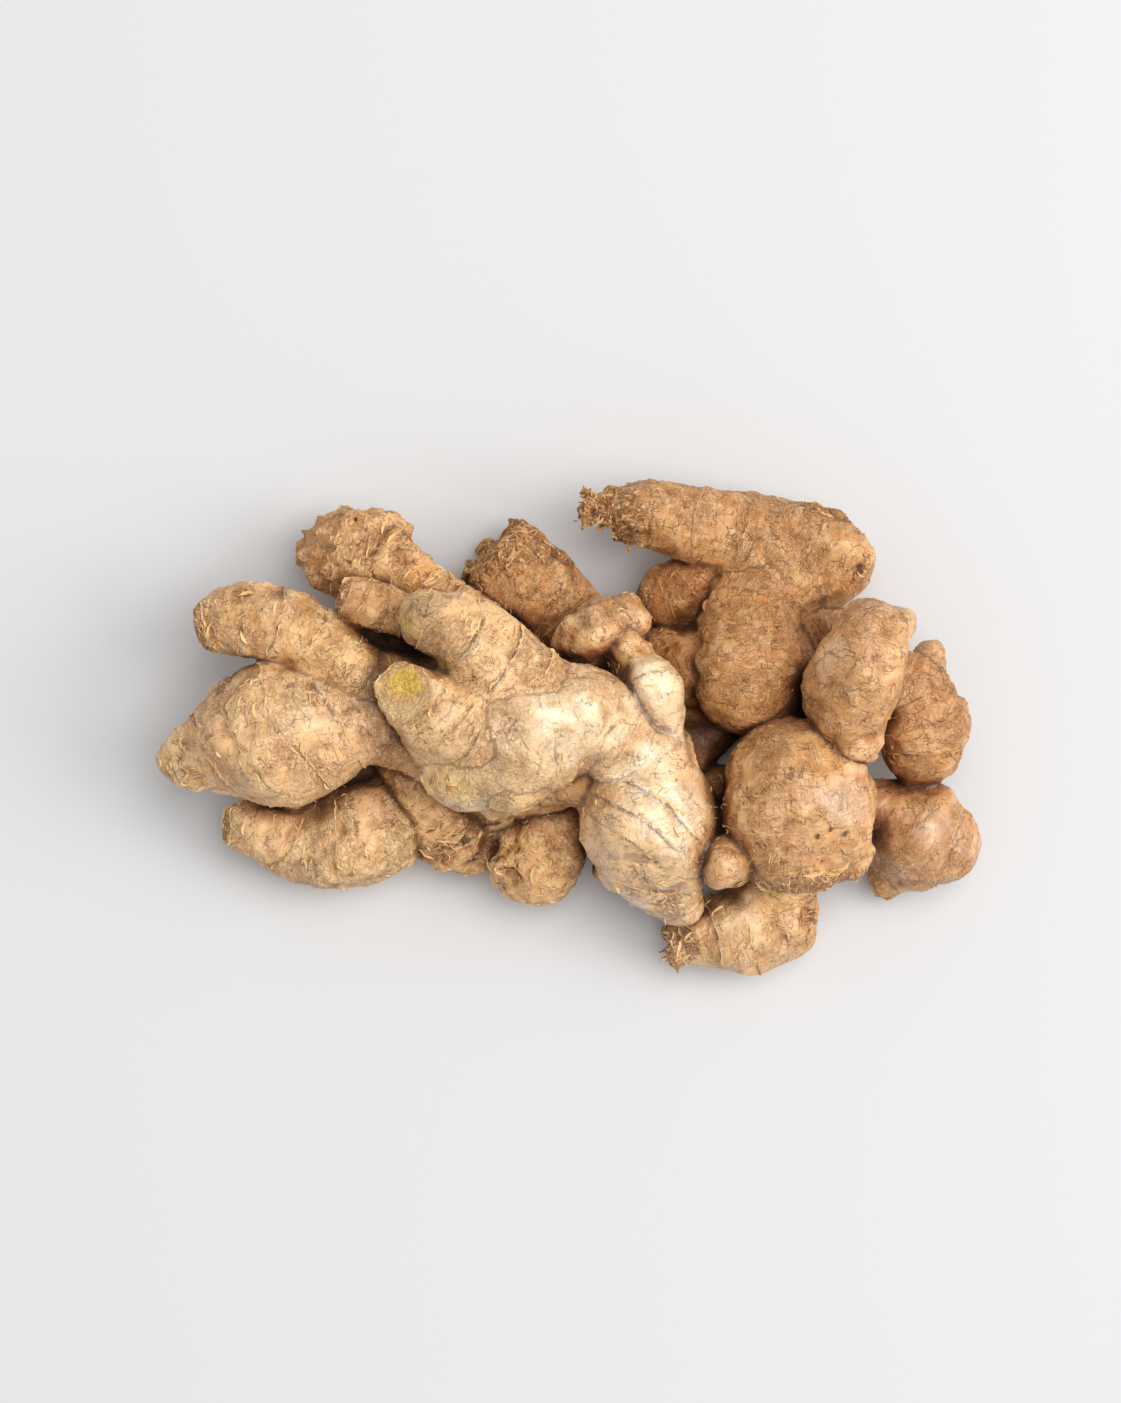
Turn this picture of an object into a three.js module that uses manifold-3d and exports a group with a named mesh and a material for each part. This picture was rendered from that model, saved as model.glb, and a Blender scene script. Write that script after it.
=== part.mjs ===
// A hand of fresh ginger, lying flat as it is laid on a table.
// Ginger is a swollen underground stem that branches into knobbly fingers. Here each finger is a tube swept
// along a spine, thick and thin as the real one is, ringed where its leaf scales once sat, and all of them
// are fused into the one solid that the root is.
// Millimetres, +Z up, the table at z = 0, +X along the hand and +Y away from the viewer.
import * as THREE from "three";
import { mergeVertices } from "three/addons/utils/BufferGeometryUtils.js";
import Module from "manifold-3d";

const wasm = await Module();
wasm.setup();

// Driving dimensions
const SKIN_COLOUR = 0xc99a68;
const SPINE_STEPS = 10; // samples of a spine between two of its stations
const SIDES = [[9, 12], [5.5, 9], [0, 6]]; // sides of a section, for a widest radius above each bound
const LUMP_SIZE = 0.045; // how far a section departs from a circle, as a share of its radius
const RING_STEP = 0.8; // how far the skin steps down from one leaf scale's ring to the next segment
const RING_WIDTH = 0.8; // length of that step along the finger
const SEGMENT_BULGE = 0.3; // how far a long segment swells between two rings
const LONG_SEGMENT = 9.5; // a segment longer than this swells
const TIP_REACH = { dome: 0.9, scar: 0.45 }; // how far a tip stands out past its last station, in radii
const STUB_SIDES = 4;
const STUB_NECK = [0.86, 0.8]; // where a stub starts to close, as a share of its length, and its width there
const GOLDEN_ANGLE = Math.PI * (3 - Math.sqrt(5)); // the turn from one stub of a crown to the next

// The stations of each finger's spine are [x, y, z, radius], from where it grows to its tip.
// pitch is the distance between two leaf scale rings, lean how far the rings slant, as a share of the radius,
// and end is the shape of the tip: a dome, or a blunt scar. A knife cuts off what lies beyond its face.
const FINGERS = [
  // The left arm of the hand: a stout pointed lobe, a finger beside it, and the core that both grow from.
  {
    name: "left_core",
    path: [[-54, 6, 27, 12], [-43, 1, 25, 11.5], [-31, -4, 24, 11], [-18, -6, 26, 11]],
    seed: 40,
  },
  { name: "left_palm", path: [[-66, 11, 29, 9], [-56, 9, 29, 11.5], [-46, 7.5, 28, 11.5], [-36, 7, 26, 10]] },
  { name: "left_back", path: [[-51, 17, 20, 8], [-38, 18.5, 19, 8.5], [-26, 17, 22, 8.5]], seed: 45 },
  {
    name: "left_lobe",
    path: [
      [-44, 3.6, 28, 10.5], [-52.5, 2.2, 29, 13], [-62, 0.3, 30, 15.6], [-72, -2.2, 30, 16.6],
      [-81.3, -4, 29, 13.4], [-89, -6.2, 28, 8.8], [-94, -7.6, 27, 5.6],
    ],
    pitch: 11, lean: 0.35, seed: 1,
  },
  { name: "left_shoulder", path: [[-74, 2, 31, 9], [-81.4, 8.2, 31, 5.6]], seed: 2, end: "scar" },
  { name: "lobe_nub", path: [[-62, -10, 24, 7], [-67, -17, 19, 3.8]], seed: 46 },
  {
    name: "left_finger",
    path: [
      [-46.5, 5, 29, 10], [-54.5, 12.4, 31, 10.4], [-62.2, 20.6, 32, 9.2], [-71.4, 24.6, 32, 9],
      [-80.3, 25.6, 31, 8.2], [-86.4, 24.4, 30, 6.4],
    ],
    pitch: 7.5, lean: 0.2, seed: 3, end: "scar",
  },
  // The lower left arm, which lies on the table under the other.
  {
    name: "front_left_lobe",
    path: [
      [-45.6, -23.4, 13.6, 12.4], [-52.6, -26, 13, 13.8], [-60.4, -27.6, 12.6, 12.8],
      [-69.3, -26.4, 13.5, 9.2], [-77, -24.7, 14, 6.6], [-82.4, -24, 14, 4.8],
    ],
    pitch: 11, lean: 0.3, seed: 4, end: "scar",
  },
  {
    name: "under_core",
    path: [[-40, -4, 19, 9.5], [-36, -15, 16, 10.4], [-29, -25, 12.5, 9.8]],
    seed: 5,
  },
  {
    name: "under_ridge",
    path: [[-34, -24, 11, 6.5], [-25.6, -30, 9, 6], [-19, -28.6, 10, 6.4]],
    seed: 41,
  },
  {
    name: "front_nub",
    path: [[-2.5, -21, 15, 8.4], [-5.8, -27.6, 13.6, 10.6], [-9, -33.4, 11.4, 11.2]],
    pitch: 12, lean: 0.1, seed: 6,
  },
  // The back left: a knob thick with root stubs, and a bud beside it.
  {
    name: "rooted_knob",
    path: [
      [-14, 16, 27, 8], [-24, 25.8, 22, 6.8], [-33.6, 31.4, 20, 7.4], [-41.6, 36.6, 19, 8],
      [-48.6, 40, 17, 10.2], [-55.2, 41.6, 16, 10.8],
    ],
    pitch: 9, lean: 0.3, seed: 7,
  },
  {
    name: "small_bud",
    path: [[-35, 24.6, 33, 5.6], [-42.4, 27.4, 33, 5.8], [-48.8, 29.6, 33.6, 6.6], [-53.2, 30.8, 33.6, 5.6]],
    pitch: 5.5, lean: 0.1, seed: 8, end: "scar",
  },
  // The middle: a finger and a cut finger that rise out of the thick body.
  {
    name: "upper_finger",
    path: [
      [-7, 4, 39, 13.6], [-15.4, 12, 42, 11.6], [-23.6, 20.4, 43.6, 9.8], [-29.4, 23.8, 44, 8.6],
      [-34, 25.6, 44, 7.2],
    ],
    pitch: 8, lean: 0.25, seed: 9,
  },
  {
    name: "cut_finger",
    path: [
      [-14, -5.4, 38, 14.6], [-24, -1.6, 40, 13.6], [-31.6, 3.2, 43, 11], [-37, 6.6, 46.4, 8.8],
      [-40.4, 8.8, 51, 7.2],
    ],
    pitch: 7.5, lean: 0.2, seed: 10, knife: { at: [-39.4, 8.2, 49], facing: [-0.46, 0.16, 0.87] },
  },
  {
    name: "main_body",
    path: [
      [-25.6, -8, 37, 12.2], [-16.4, -4.6, 38, 15], [-7.2, 0.2, 39, 15], [2, 2.4, 38, 12.4],
      [8.4, -0.6, 35.6, 10.6], [14.6, -7, 31, 9],
    ],
    pitch: 12, lean: 0.3, seed: 11,
  },
  { name: "body_spur", path: [[3.5, 5.6, 42, 6.5], [8.8, 11, 42, 1.8]], seed: 12 },
  { name: "body_corner", path: [[-18.6, -12, 37, 7.5], [-18.8, -20, 33, 2]], seed: 13 },
  // The front: a bulb with close rings, and the small shiny one on its shoulder.
  {
    name: "banded_bulb",
    path: [
      [18.8, -6.8, 28.6, 11], [18.2, -14.6, 28, 15.2], [18.4, -22.8, 27, 16.6], [20, -31, 25, 14.2],
      [23.6, -38.6, 22, 9.4], [26.4, -43.2, 20, 6],
    ],
    pitch: 7.5, lean: -1.1, seed: 14,
  },
  { name: "banded_nub", path: [[13, -29, 18, 6.5], [8.4, -34.4, 14, 3.4]], seed: 48 },
  {
    name: "bright_bulb",
    path: [[23.4, -6, 30.6, 5.6], [22.6, 0.6, 33, 4.2], [20, 8.6, 36, 6.1], [18.6, 12, 36, 5.7]],
    pitch: 8, lean: 0.1, seed: 15,
  },
  {
    name: "pale_link",
    path: [[-1.4, 13.6, 22, 6], [3.4, 18.4, 25, 7.6], [8.8, 22.8, 27.6, 8], [13, 25.8, 27, 6.2]],
    seed: 16,
  },
  { name: "pale_neck", path: [[11, 20, 27, 7], [14.4, 16.4, 30, 6.2], [17, 13, 33, 5.2]], seed: 49 },
  {
    name: "brown_lobe",
    path: [
      [6.4, 20.4, 15, 7.6], [-0.6, 25, 12.6, 9.4], [-7.6, 31.4, 11.8, 11.8], [-12.8, 36, 11.4, 12.4],
      [-15.8, 38.6, 11.4, 11.8],
    ],
    pitch: 11, lean: 0.2, seed: 17, end: "scar",
  },
  { name: "brown_nub", path: [[-7.4, 35, 13, 9], [-5.2, 41.2, 13, 6.4]], seed: 18, end: "scar" },
  // The back right: a horn with a torn tip, a nub under it, and the thick body that it grows from.
  {
    name: "horn",
    path: [
      [63, 39.6, 15.5, 11.4], [56.4, 40.6, 13.6, 14.4], [47.6, 43.6, 15.5, 12.2], [37, 47.4, 19, 9.8],
      [26, 49.6, 22, 9], [16, 51.6, 24, 7.6], [9.4, 53, 25, 4.8],
    ],
    pitch: 12, lean: 0.3, seed: 19, end: "scar",
  },
  { name: "horn_heel", path: [[59, 45, 15, 9.4], [66, 48, 16, 5]], seed: 42, end: "scar" },
  {
    name: "horn_nub",
    path: [[35, 40, 16, 6.6], [29.6, 34.6, 14, 8.2], [23.4, 31.4, 13, 8.2]],
    pitch: 6.5, lean: 0.1, seed: 20,
  },
  {
    name: "back_body",
    path: [
      [50, 37, 16, 12.4], [45, 30, 17, 11.6], [43.4, 22, 18, 14.6], [43, 15.4, 18, 16.4],
      [42.4, 10.6, 18, 14.4],
    ],
    seed: 21,
  },
  { name: "back_side", path: [[50, 26, 13, 10], [59, 26, 12, 8.4]], seed: 44 },
  {
    name: "back_shoulder",
    path: [[40, 13, 18, 10.6], [29.8, 15, 17, 9.6], [23.6, 18.4, 16, 6.6]],
    seed: 22,
  },
  { name: "back_foot", path: [[38, 7, 12, 8.8], [30.4, 3.4, 9, 6.8]], seed: 23 },
  // The right: the largest bulb, and a ring of smaller ones round it.
  {
    name: "round_bulb",
    path: [
      [52.9, -12.8, 24.8, 16.8], [53.4, -17.4, 25.6, 18], [54, -22, 25, 18], [54.6, -25.8, 23.6, 17.2],
      [55, -28.8, 21.8, 15.6],
    ],
    pitch: 10, lean: 0.15, seed: 24, end: "scar",
  },
  {
    name: "smooth_lobe",
    path: [
      [66.4, -1.4, 30, 7.6], [65.8, 4.6, 33, 10.2], [67.6, 11.4, 35, 11.2], [70, 18, 36, 10.6],
      [71.4, 22.6, 36, 8.8],
    ],
    seed: 25,
  },
  { name: "smooth_bump", path: [[74.4, 21.2, 35, 6.4], [77.8, 24.8, 34.4, 4.4]], seed: 26 },
  { name: "smooth_root", path: [[52, 11, 14, 8], [62, 8, 18, 8], [67, 8, 28, 7]], seed: 27 },
  {
    name: "right_bulb",
    path: [[77, 12, 24, 7], [82.4, 7.6, 21, 9], [85, 0.6, 18.6, 11.6], [85.6, -4.8, 17.6, 10.4]],
    pitch: 8, lean: 0.2, seed: 28,
  },
  { name: "right_nub", path: [[83.6, 8, 20, 5.4], [86.8, 17.4, 20, 4]], seed: 29 },
  {
    name: "corner_bulb",
    path: [
      [63, -17, 14, 7.6], [74, -20.4, 13, 8.6], [82.6, -25.6, 12.4, 13.2], [88, -28, 12, 12.4],
      [91.4, -29.2, 12, 9.4],
    ],
    pitch: 9.5, lean: 0.2, seed: 30,
  },
  { name: "corner_nub", path: [[80, -31, 10, 7.4], [77.4, -37.6, 7.6, 5]], seed: 31 },
  // The front right: a lobe that turns across the front, and a bud whose end looks straight up.
  {
    name: "ring_bud",
    path: [[38, -31.2, 22, 6], [37, -32.2, 30, 6.5], [36.4, -33.2, 35.6, 5.2]],
    pitch: 4.4, lean: 0.05, seed: 32,
  },
  {
    name: "front_lobe",
    path: [
      [51.6, -47.6, 11, 9.4], [46.2, -48.6, 10.4, 10.8], [39.4, -49.6, 10, 10.6], [32.4, -51, 10, 8],
      [27, -52.4, 10, 5.6],
    ],
    pitch: 8, lean: 0.15, seed: 33, end: "scar",
  },
  { name: "front_neck", path: [[54, -34, 16, 9], [48, -39, 14, 8.6], [44, -44, 12, 8.6]], seed: 34 },
  { name: "front_collar", path: [[53, -45.6, 13, 5.4], [57, -44.6, 13, 4]], seed: 35 },
  // Where the arms join, below what is seen from above.
  { name: "link_left", path: [[-52, -16, 12, 7.2], [-38, -11, 13, 7.6]], seed: 50 },
  { name: "link_bulbs", path: [[19, -18, 15, 8.4], [36, -17, 10, 7.6], [54, -18, 15, 8.4]], seed: 36 },
  { name: "link_back", path: [[53, -12, 17, 9], [50, 0, 14, 9], [45, 10, 15, 9]], seed: 37 },
  { name: "link_middle", path: [[20, -12, 17, 8], [30, -3, 9, 7.4], [40, 6, 10, 8]], seed: 43 },
  { name: "link_nub", path: [[-4, -24, 12, 7], [6, -22, 13, 7], [15, -20, 20, 8]], seed: 38 },
  {
    name: "link_front",
    path: [[-28, -18, 13, 8.4], [-17, -15, 16, 8.6], [-6, -12, 21, 9], [4, -9, 27, 9]],
    seed: 39,
  },
];

// Stubs that fan out of one place, between two angles from the way that it faces, in degrees.
// from and to are how far their feet and tips lie from that place.
const CROWNS = [
  {
    name: "root_stubs", at: [-55, 41.4, 16], facing: [-0.25, 0.75, 0.6], cone: [8, 90],
    count: 12, from: 6, to: 12.2, thick: 2.5, seed: 5,
  },
  {
    name: "torn_horn_tip", at: [9, 52.6, 25], facing: [-0.98, 0.1, 0.15], cone: [5, 42],
    count: 6, from: 1, to: 8.8, thick: 1.3, seed: 8,
  },
  {
    name: "brown_scar_rim", at: [-13.6, 37.6, 11.4], facing: [-0.66, 0.68, 0.32], cone: [42, 56],
    count: 7, from: 6, to: 12.8, thick: 2.4, seed: 3,
  },
  {
    name: "front_scar_rim", at: [28, -52.4, 10], facing: [-0.97, -0.2, 0.2], cone: [20, 60],
    count: 5, from: 2, to: 7.6, thick: 1.6, seed: 4,
  },
];

// One coordinate of a Catmull-Rom curve between b and c.
function between(a, b, c, d, t) {
  const [square, cube] = [2 * a - 5 * b + 4 * c - d, 3 * b - a - 3 * c + d];
  return 0.5 * (2 * b + (c - a) * t + square * t * t + cube * t * t * t);
}

// The spine as close points, each with its radius, its distance from the root, and two axes across it.
function spineOf(stations) {
  const mirrored = (end, next) => end.map((value, i) => 2 * value - next[i]);
  const held = [mirrored(stations[0], stations[1]), ...stations, mirrored(stations.at(-1), stations.at(-2))];
  const points = [];
  for (let i = 1; i < held.length - 2; i++)
    for (let k = 0; k < SPINE_STEPS; k++) {
      const t = k / SPINE_STEPS;
      const [a, b, c, d] = held.slice(i - 1, i + 3);
      points.push([0, 1, 2, 3].map((n) => between(a[n], b[n], c[n], d[n], t)));
    }
  points.push(stations.at(-1));
  const spine = points.map((p) => ({ centre: new THREE.Vector3(p[0], p[1], p[2]), radius: p[3] }));
  let side = null;
  spine.forEach((here, i) => {
    const before = spine[Math.max(i - 1, 0)];
    const after = spine[Math.min(i + 1, spine.length - 1)];
    here.along = i === 0 ? 0 : before.along + here.centre.distanceTo(before.centre);
    here.tangent = after.centre.clone().sub(before.centre).normalize();
    if (!side) side = uprightTo(here.tangent);
    side = side.clone().addScaledVector(here.tangent, -side.dot(here.tangent)).normalize();
    here.side = side;
    here.over = here.tangent.clone().cross(side);
  });
  return spine;
}

// An axis to measure a section from: straight up, or across for what is itself upright.
function uprightTo(axis) {
  return Math.abs(axis.z) > 0.9 ? new THREE.Vector3(1, 0, 0) : new THREE.Vector3(0, 0, 1);
}

// The spine's centre, axes and radius at a distance from its root.
function spineAt(spine, along) {
  let i = 1;
  while (i < spine.length - 1 && spine[i].along < along) i++;
  const [a, b] = [spine[i - 1], spine[i]];
  const t = THREE.MathUtils.clamp((along - a.along) / (b.along - a.along), 0, 1);
  return {
    centre: a.centre.clone().lerp(b.centre, t),
    radius: THREE.MathUtils.lerp(a.radius, b.radius, t),
    tangent: a.tangent.clone().lerp(b.tangent, t).normalize(),
    side: a.side.clone().lerp(b.side, t).normalize(),
    over: a.over.clone().lerp(b.over, t).normalize(),
  };
}

// How much wider or narrower than a circle the section is at an angle: slow waves that wander along it.
function lumps(angle, along, seed) {
  return 1 + LUMP_SIZE * (
    Math.sin(2 * angle + 0.12 * along + 1.7 * seed) +
    0.8 * Math.sin(3 * angle - 0.19 * along + 2.9 * seed) +
    0.5 * Math.sin(5 * angle + 0.31 * along + 0.6 * seed)
  );
}

// The rows of a finger between its two ends: where each lies, and how far it stands out of the smooth tube.
function rowsOf(length, pitch, radius) {
  if (!pitch) {
    const steps = Math.max(1, Math.round(length / Math.max(7, radius * 0.9)));
    return Array.from({ length: steps + 1 }, (_, i) => ({ along: (length * i) / steps, out: 0 }));
  }
  const segments = Math.max(1, Math.round(length / pitch));
  const each = length / segments;
  const rows = [];
  for (let i = 0; i < segments; i++) {
    const from = i * each;
    rows.push({ along: from + RING_WIDTH / 2, out: -RING_STEP / 2 });
    if (each > LONG_SEGMENT) rows.push({ along: from + each / 2, out: SEGMENT_BULGE });
    rows.push({ along: from + each - RING_WIDTH / 2, out: RING_STEP / 2 });
  }
  return rows;
}

// One finger as a closed tube with shut ends, ready to be fused.
function fingerSolid({ path, pitch = 0, lean = 0, seed = 0, end = "dome", knife = null }) {
  const spine = spineOf(path);
  const length = spine.at(-1).along;
  const widest = Math.max(...spine.map((p) => p.radius));
  const around = SIDES.find(([bound]) => widest > bound)[1];
  const rings = [];
  const row = (along, share, beyond, out) => {
    const ring = [];
    for (let i = 0; i < around; i++) {
      const angle = (2 * Math.PI * i) / around;
      const room = Math.min(along, length - along) / widest;
      const slant = lean * widest * Math.min(1, room) * Math.cos(angle - seed);
      const here = spineAt(spine, THREE.MathUtils.clamp(along + slant, 0, length));
      const radius = (here.radius + out) * lumps(angle, along, seed) * share;
      ring.push(
        here.centre.clone()
          .addScaledVector(here.tangent, beyond * here.radius)
          .addScaledVector(here.side, radius * Math.cos(angle))
          .addScaledVector(here.over, radius * Math.sin(angle)),
      );
    }
    rings.push(ring);
  };
  const reach = TIP_REACH[end];
  const flatness = end === "scar" ? 0.5 : 1;
  row(0, 0.7, -0.6, 0);
  for (const { along, out } of rowsOf(length, pitch, widest)) row(along, 1, 0, out);
  for (const degrees of [30, 60]) {
    const rise = THREE.MathUtils.degToRad(degrees);
    row(length, Math.cos(rise) ** flatness, reach * Math.sin(rise), 0);
  }
  const first = spine[0];
  const last = spine.at(-1);
  const rootPole = first.centre.clone().addScaledVector(first.tangent, -0.8 * first.radius);
  const tipPole = last.centre.clone().addScaledVector(last.tangent, reach * last.radius);

  const points = [rootPole, ...rings.flat(), tipPole];
  const faces = [];
  for (let i = 0; i < around; i++) {
    const next = (i + 1) % around;
    faces.push([0, 1 + next, 1 + i]);
    for (let r = 0; r < rings.length - 1; r++) {
      const [a, b] = [1 + r * around, 1 + (r + 1) * around];
      faces.push([a + i, a + next, b + next], [a + i, b + next, b + i]);
    }
    const lastRing = 1 + (rings.length - 1) * around;
    faces.push([lastRing + i, lastRing + next, points.length - 1]);
  }
  const solid = solidFrom(points, faces);
  return knife ? solid.subtract(knifeBlock(knife)) : solid;
}

// A blunt cone with few sides, its foot sunk well in.
function stubSolid(foot, tip, radius) {
  const axis = tip.clone().sub(foot).normalize();
  const side = uprightTo(axis).cross(axis).normalize();
  const over = axis.clone().cross(side);
  const points = [foot];
  const neck = foot.clone().lerp(tip, STUB_NECK[0]);
  for (const [centre, width] of [[foot, radius], [neck, STUB_NECK[1] * radius]])
    for (let i = 0; i < STUB_SIDES; i++) {
      const angle = (2 * Math.PI * i) / STUB_SIDES;
      const offset = side.clone().multiplyScalar(width * Math.cos(angle));
      points.push(centre.clone().add(offset).addScaledVector(over, width * Math.sin(angle)));
    }
  points.push(tip);
  const faces = [];
  for (let i = 0; i < STUB_SIDES; i++) {
    const next = (i + 1) % STUB_SIDES;
    const [low, high] = [1, 1 + STUB_SIDES];
    faces.push([0, low + next, low + i]);
    faces.push([low + i, low + next, high + next], [low + i, high + next, high + i]);
    faces.push([high + i, high + next, points.length - 1]);
  }
  return solidFrom(points, faces);
}

// The stubs of one crown, spread evenly and then a little astray.
function crownSolids({ at, facing, cone, count, from, to, thick, seed }) {
  const draw = drawer(seed);
  const centre = new THREE.Vector3(...at);
  const turn = new THREE.Quaternion().setFromUnitVectors(
    new THREE.Vector3(0, 0, 1),
    new THREE.Vector3(...facing).normalize(),
  );
  return Array.from({ length: count }, (_, i) => {
    const share = Math.sqrt((i + 0.8 * draw()) / count);
    const polar = THREE.MathUtils.degToRad(THREE.MathUtils.lerp(cone[0], cone[1], share));
    const round = i * GOLDEN_ANGLE + 0.5 * draw();
    const flat = Math.sin(polar);
    const way = new THREE.Vector3(flat * Math.cos(round), flat * Math.sin(round), Math.cos(polar));
    way.applyQuaternion(turn);
    const tip = centre.clone().addScaledVector(way, to * (0.93 + 0.12 * draw()));
    return stubSolid(centre.clone().addScaledVector(way, from), tip, thick * (0.8 + 0.4 * draw()));
  });
}

// A closed mesh of points and triangles as a solid that can be joined and cut.
function solidFrom(points, faces) {
  return new wasm.Manifold(
    new wasm.Mesh({
      numProp: 3,
      vertProperties: new Float32Array(points.flatMap((p) => p.toArray())),
      triVerts: new Uint32Array(faces.flat()),
    }),
  );
}

// A box as a solid that can be joined and cut.
function solidOfBox(box) {
  const bare = box.toNonIndexed();
  bare.deleteAttribute("normal");
  bare.deleteAttribute("uv");
  const merged = mergeVertices(bare, 1e-4);
  const vertProperties = merged.attributes.position.array;
  const triVerts = new Uint32Array(merged.index.array);
  return new wasm.Manifold(new wasm.Mesh({ numProp: 3, vertProperties, triVerts }));
}

// The block that a knife's cut takes away: all that lies beyond the cut face.
function knifeBlock({ at, facing }) {
  const size = 60;
  const ahead = new THREE.Vector3(...facing).normalize();
  const turn = new THREE.Quaternion().setFromUnitVectors(new THREE.Vector3(0, 0, 1), ahead);
  const block = new THREE.BoxGeometry(size, size, size).translate(0, 0, size / 2);
  return solidOfBox(block.applyQuaternion(turn).translate(...at));
}

// A repeatable draw from 0 to 1.
function drawer(seed) {
  let state = seed >>> 0;
  return () => {
    state = (Math.imul(state, 1664525) + 1013904223) >>> 0;
    return state / 4294967296;
  };
}

let root = null;
for (const finger of FINGERS) {
  const solid = fingerSolid(finger);
  root = root ? root.add(solid) : solid;
}
for (const crown of CROWNS) for (const stub of crownSolids(crown)) root = root.add(stub);

// What would reach below the table is worn flat, so the root rests on small flat spots.
const table = new THREE.BoxGeometry(400, 400, 40).translate(0, 0, -20);
root = root.subtract(solidOfBox(table));

const fused = root.getMesh();
const position = new Float32Array(fused.numVert * 3);
for (let i = 0; i < fused.numVert; i++) {
  const start = i * fused.numProp;
  position.set(fused.vertProperties.subarray(start, start + 3), i * 3);
}
const geometry = new THREE.BufferGeometry();
geometry.setAttribute("position", new THREE.BufferAttribute(position, 3));
geometry.setIndex(new THREE.BufferAttribute(fused.triVerts, 1));
geometry.computeVertexNormals();

const skin = new THREE.MeshStandardMaterial({ color: SKIN_COLOUR, roughness: 0.62, metalness: 0 });
const rhizome = new THREE.Mesh(geometry, skin);
rhizome.name = "rhizome";

const ginger = new THREE.Group();
ginger.add(rhizome);

export default ginger;
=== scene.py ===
# %% [markdown]
# # A hand of ginger
# Ginger is a swollen underground stem. It branches into fingers, each ringed where its leaf scales once
# sat, and its thin skin dries to paper: matte tan, cracked, flaking at every ring, dark where fingers meet.
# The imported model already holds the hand's true size and form in coarse facets. This lesson grows a fine
# skin over the same form, and then dresses it with scale edges, flakes, hairs, colour and light.

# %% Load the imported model
import math
from types import SimpleNamespace

import bpy
import numpy as np
from mathutils import Matrix, Vector, noise
from mathutils.bvhtree import BVHTree
from mathutils.kdtree import KDTree


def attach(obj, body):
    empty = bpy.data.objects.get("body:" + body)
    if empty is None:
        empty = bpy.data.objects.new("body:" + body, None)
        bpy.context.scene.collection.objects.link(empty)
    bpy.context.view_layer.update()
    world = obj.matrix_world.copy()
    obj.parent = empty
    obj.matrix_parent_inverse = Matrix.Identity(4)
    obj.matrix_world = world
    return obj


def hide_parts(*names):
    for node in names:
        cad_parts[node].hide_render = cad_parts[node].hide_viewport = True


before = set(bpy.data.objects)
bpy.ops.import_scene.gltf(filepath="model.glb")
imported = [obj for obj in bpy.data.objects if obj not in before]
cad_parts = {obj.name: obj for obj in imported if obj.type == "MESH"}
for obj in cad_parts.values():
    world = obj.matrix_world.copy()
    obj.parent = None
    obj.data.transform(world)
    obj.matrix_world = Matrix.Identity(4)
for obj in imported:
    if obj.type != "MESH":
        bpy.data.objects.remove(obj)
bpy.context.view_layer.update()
bpy.ops.object.select_all(action="DESELECT")
print("packed nodes:", sorted(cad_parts))

# %% [markdown]
# ## The view
# The photo looks straight down. A perspective camera a little under a metre up, with a long lens, gives
# the same view: the top of the hand is a touch larger than what lies on the table. The picture is taller
# than it is wide, and its long side goes with the sensor's long side.

# %% The camera
MM = 0.001
PHOTO_WIDTH, PHOTO_HEIGHT = 1121, 1403
PIXEL = 0.24  # millimetres covered by a pixel of the photo, at the height of the fingers' middles
HAND_MIDDLE = (571, 727)  # the pixel of the photo that the frame's origin lies under
FINGER_HEIGHT = 25.0  # millimetres
LENS, SENSOR = 100.0, 36.0  # millimetres


def add_object(name, data):
    """Puts data such as a mesh or a lamp into the scene."""
    thing = bpy.data.objects.new(name, data)
    bpy.context.scene.collection.objects.link(thing)
    return thing


def pick(*pieces):
    """Selects these pieces alone, and makes the first one active."""
    bpy.ops.object.select_all(action="DESELECT")
    for piece in pieces:
        piece.select_set(True)
    bpy.context.view_layer.objects.active = pieces[0]


camera = add_object("camera", bpy.data.cameras.new("camera"))
camera.data.lens = LENS
camera.data.sensor_width = SENSOR
bpy.context.scene.camera = camera
camera_height = FINGER_HEIGHT + PIXEL * PHOTO_HEIGHT * LENS / SENSOR
camera.location = (
    (PHOTO_WIDTH / 2 - HAND_MIDDLE[0]) * PIXEL * MM,
    (HAND_MIDDLE[1] - PHOTO_HEIGHT / 2) * PIXEL * MM,
    camera_height * MM,
)
print("the camera hangs", round(camera_height), "mm above the table")

# %% [markdown]
# ## Light and floor
# The photo's light is soft and comes from above and from the right: highlights are broad and lie on the
# tops and on the right, shadows are pale and lie to the left. A large lamp overhead, another on the right
# like a window, and a pale world give the same. The floor is a plain pale sheet, told to the frame as
# stage, so it isn't taken for a part of the ginger.

# %% Lamps, world and floor
FLOOR_SIZE = 6.0  # metres
FLOOR_COLOUR = (0.65, 0.65, 0.657, 1)
LAMPS = [  # name, place and width in metres, and power in watts
    ("overhead", (0.55, 0.35, 2.2), 1.6, 33.0),
    ("window", (1.75, 0.05, 1.3), 1.4, 26.5),
]
LAMP_COLOUR, WORLD_COLOUR = (1.0, 0.985, 0.96), (0.97, 0.985, 1.0, 1)
WORLD_STRENGTH = 0.50

for name, place, width, power in LAMPS:
    lamp = add_object(name, bpy.data.lights.new(name, "AREA"))
    lamp.data.size = width
    lamp.data.energy = power
    lamp.data.color = LAMP_COLOUR
    lamp.location = place
    lamp.rotation_euler = (-Vector(place)).to_track_quat("-Z", "Y").to_euler()

world = bpy.data.worlds.new("room")
world.use_nodes = True
background = world.node_tree.nodes["Background"]
background.inputs["Color"].default_value = WORLD_COLOUR
background.inputs["Strength"].default_value = WORLD_STRENGTH
bpy.context.scene.world = world
bpy.context.scene.view_settings.view_transform = "Standard"

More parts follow.
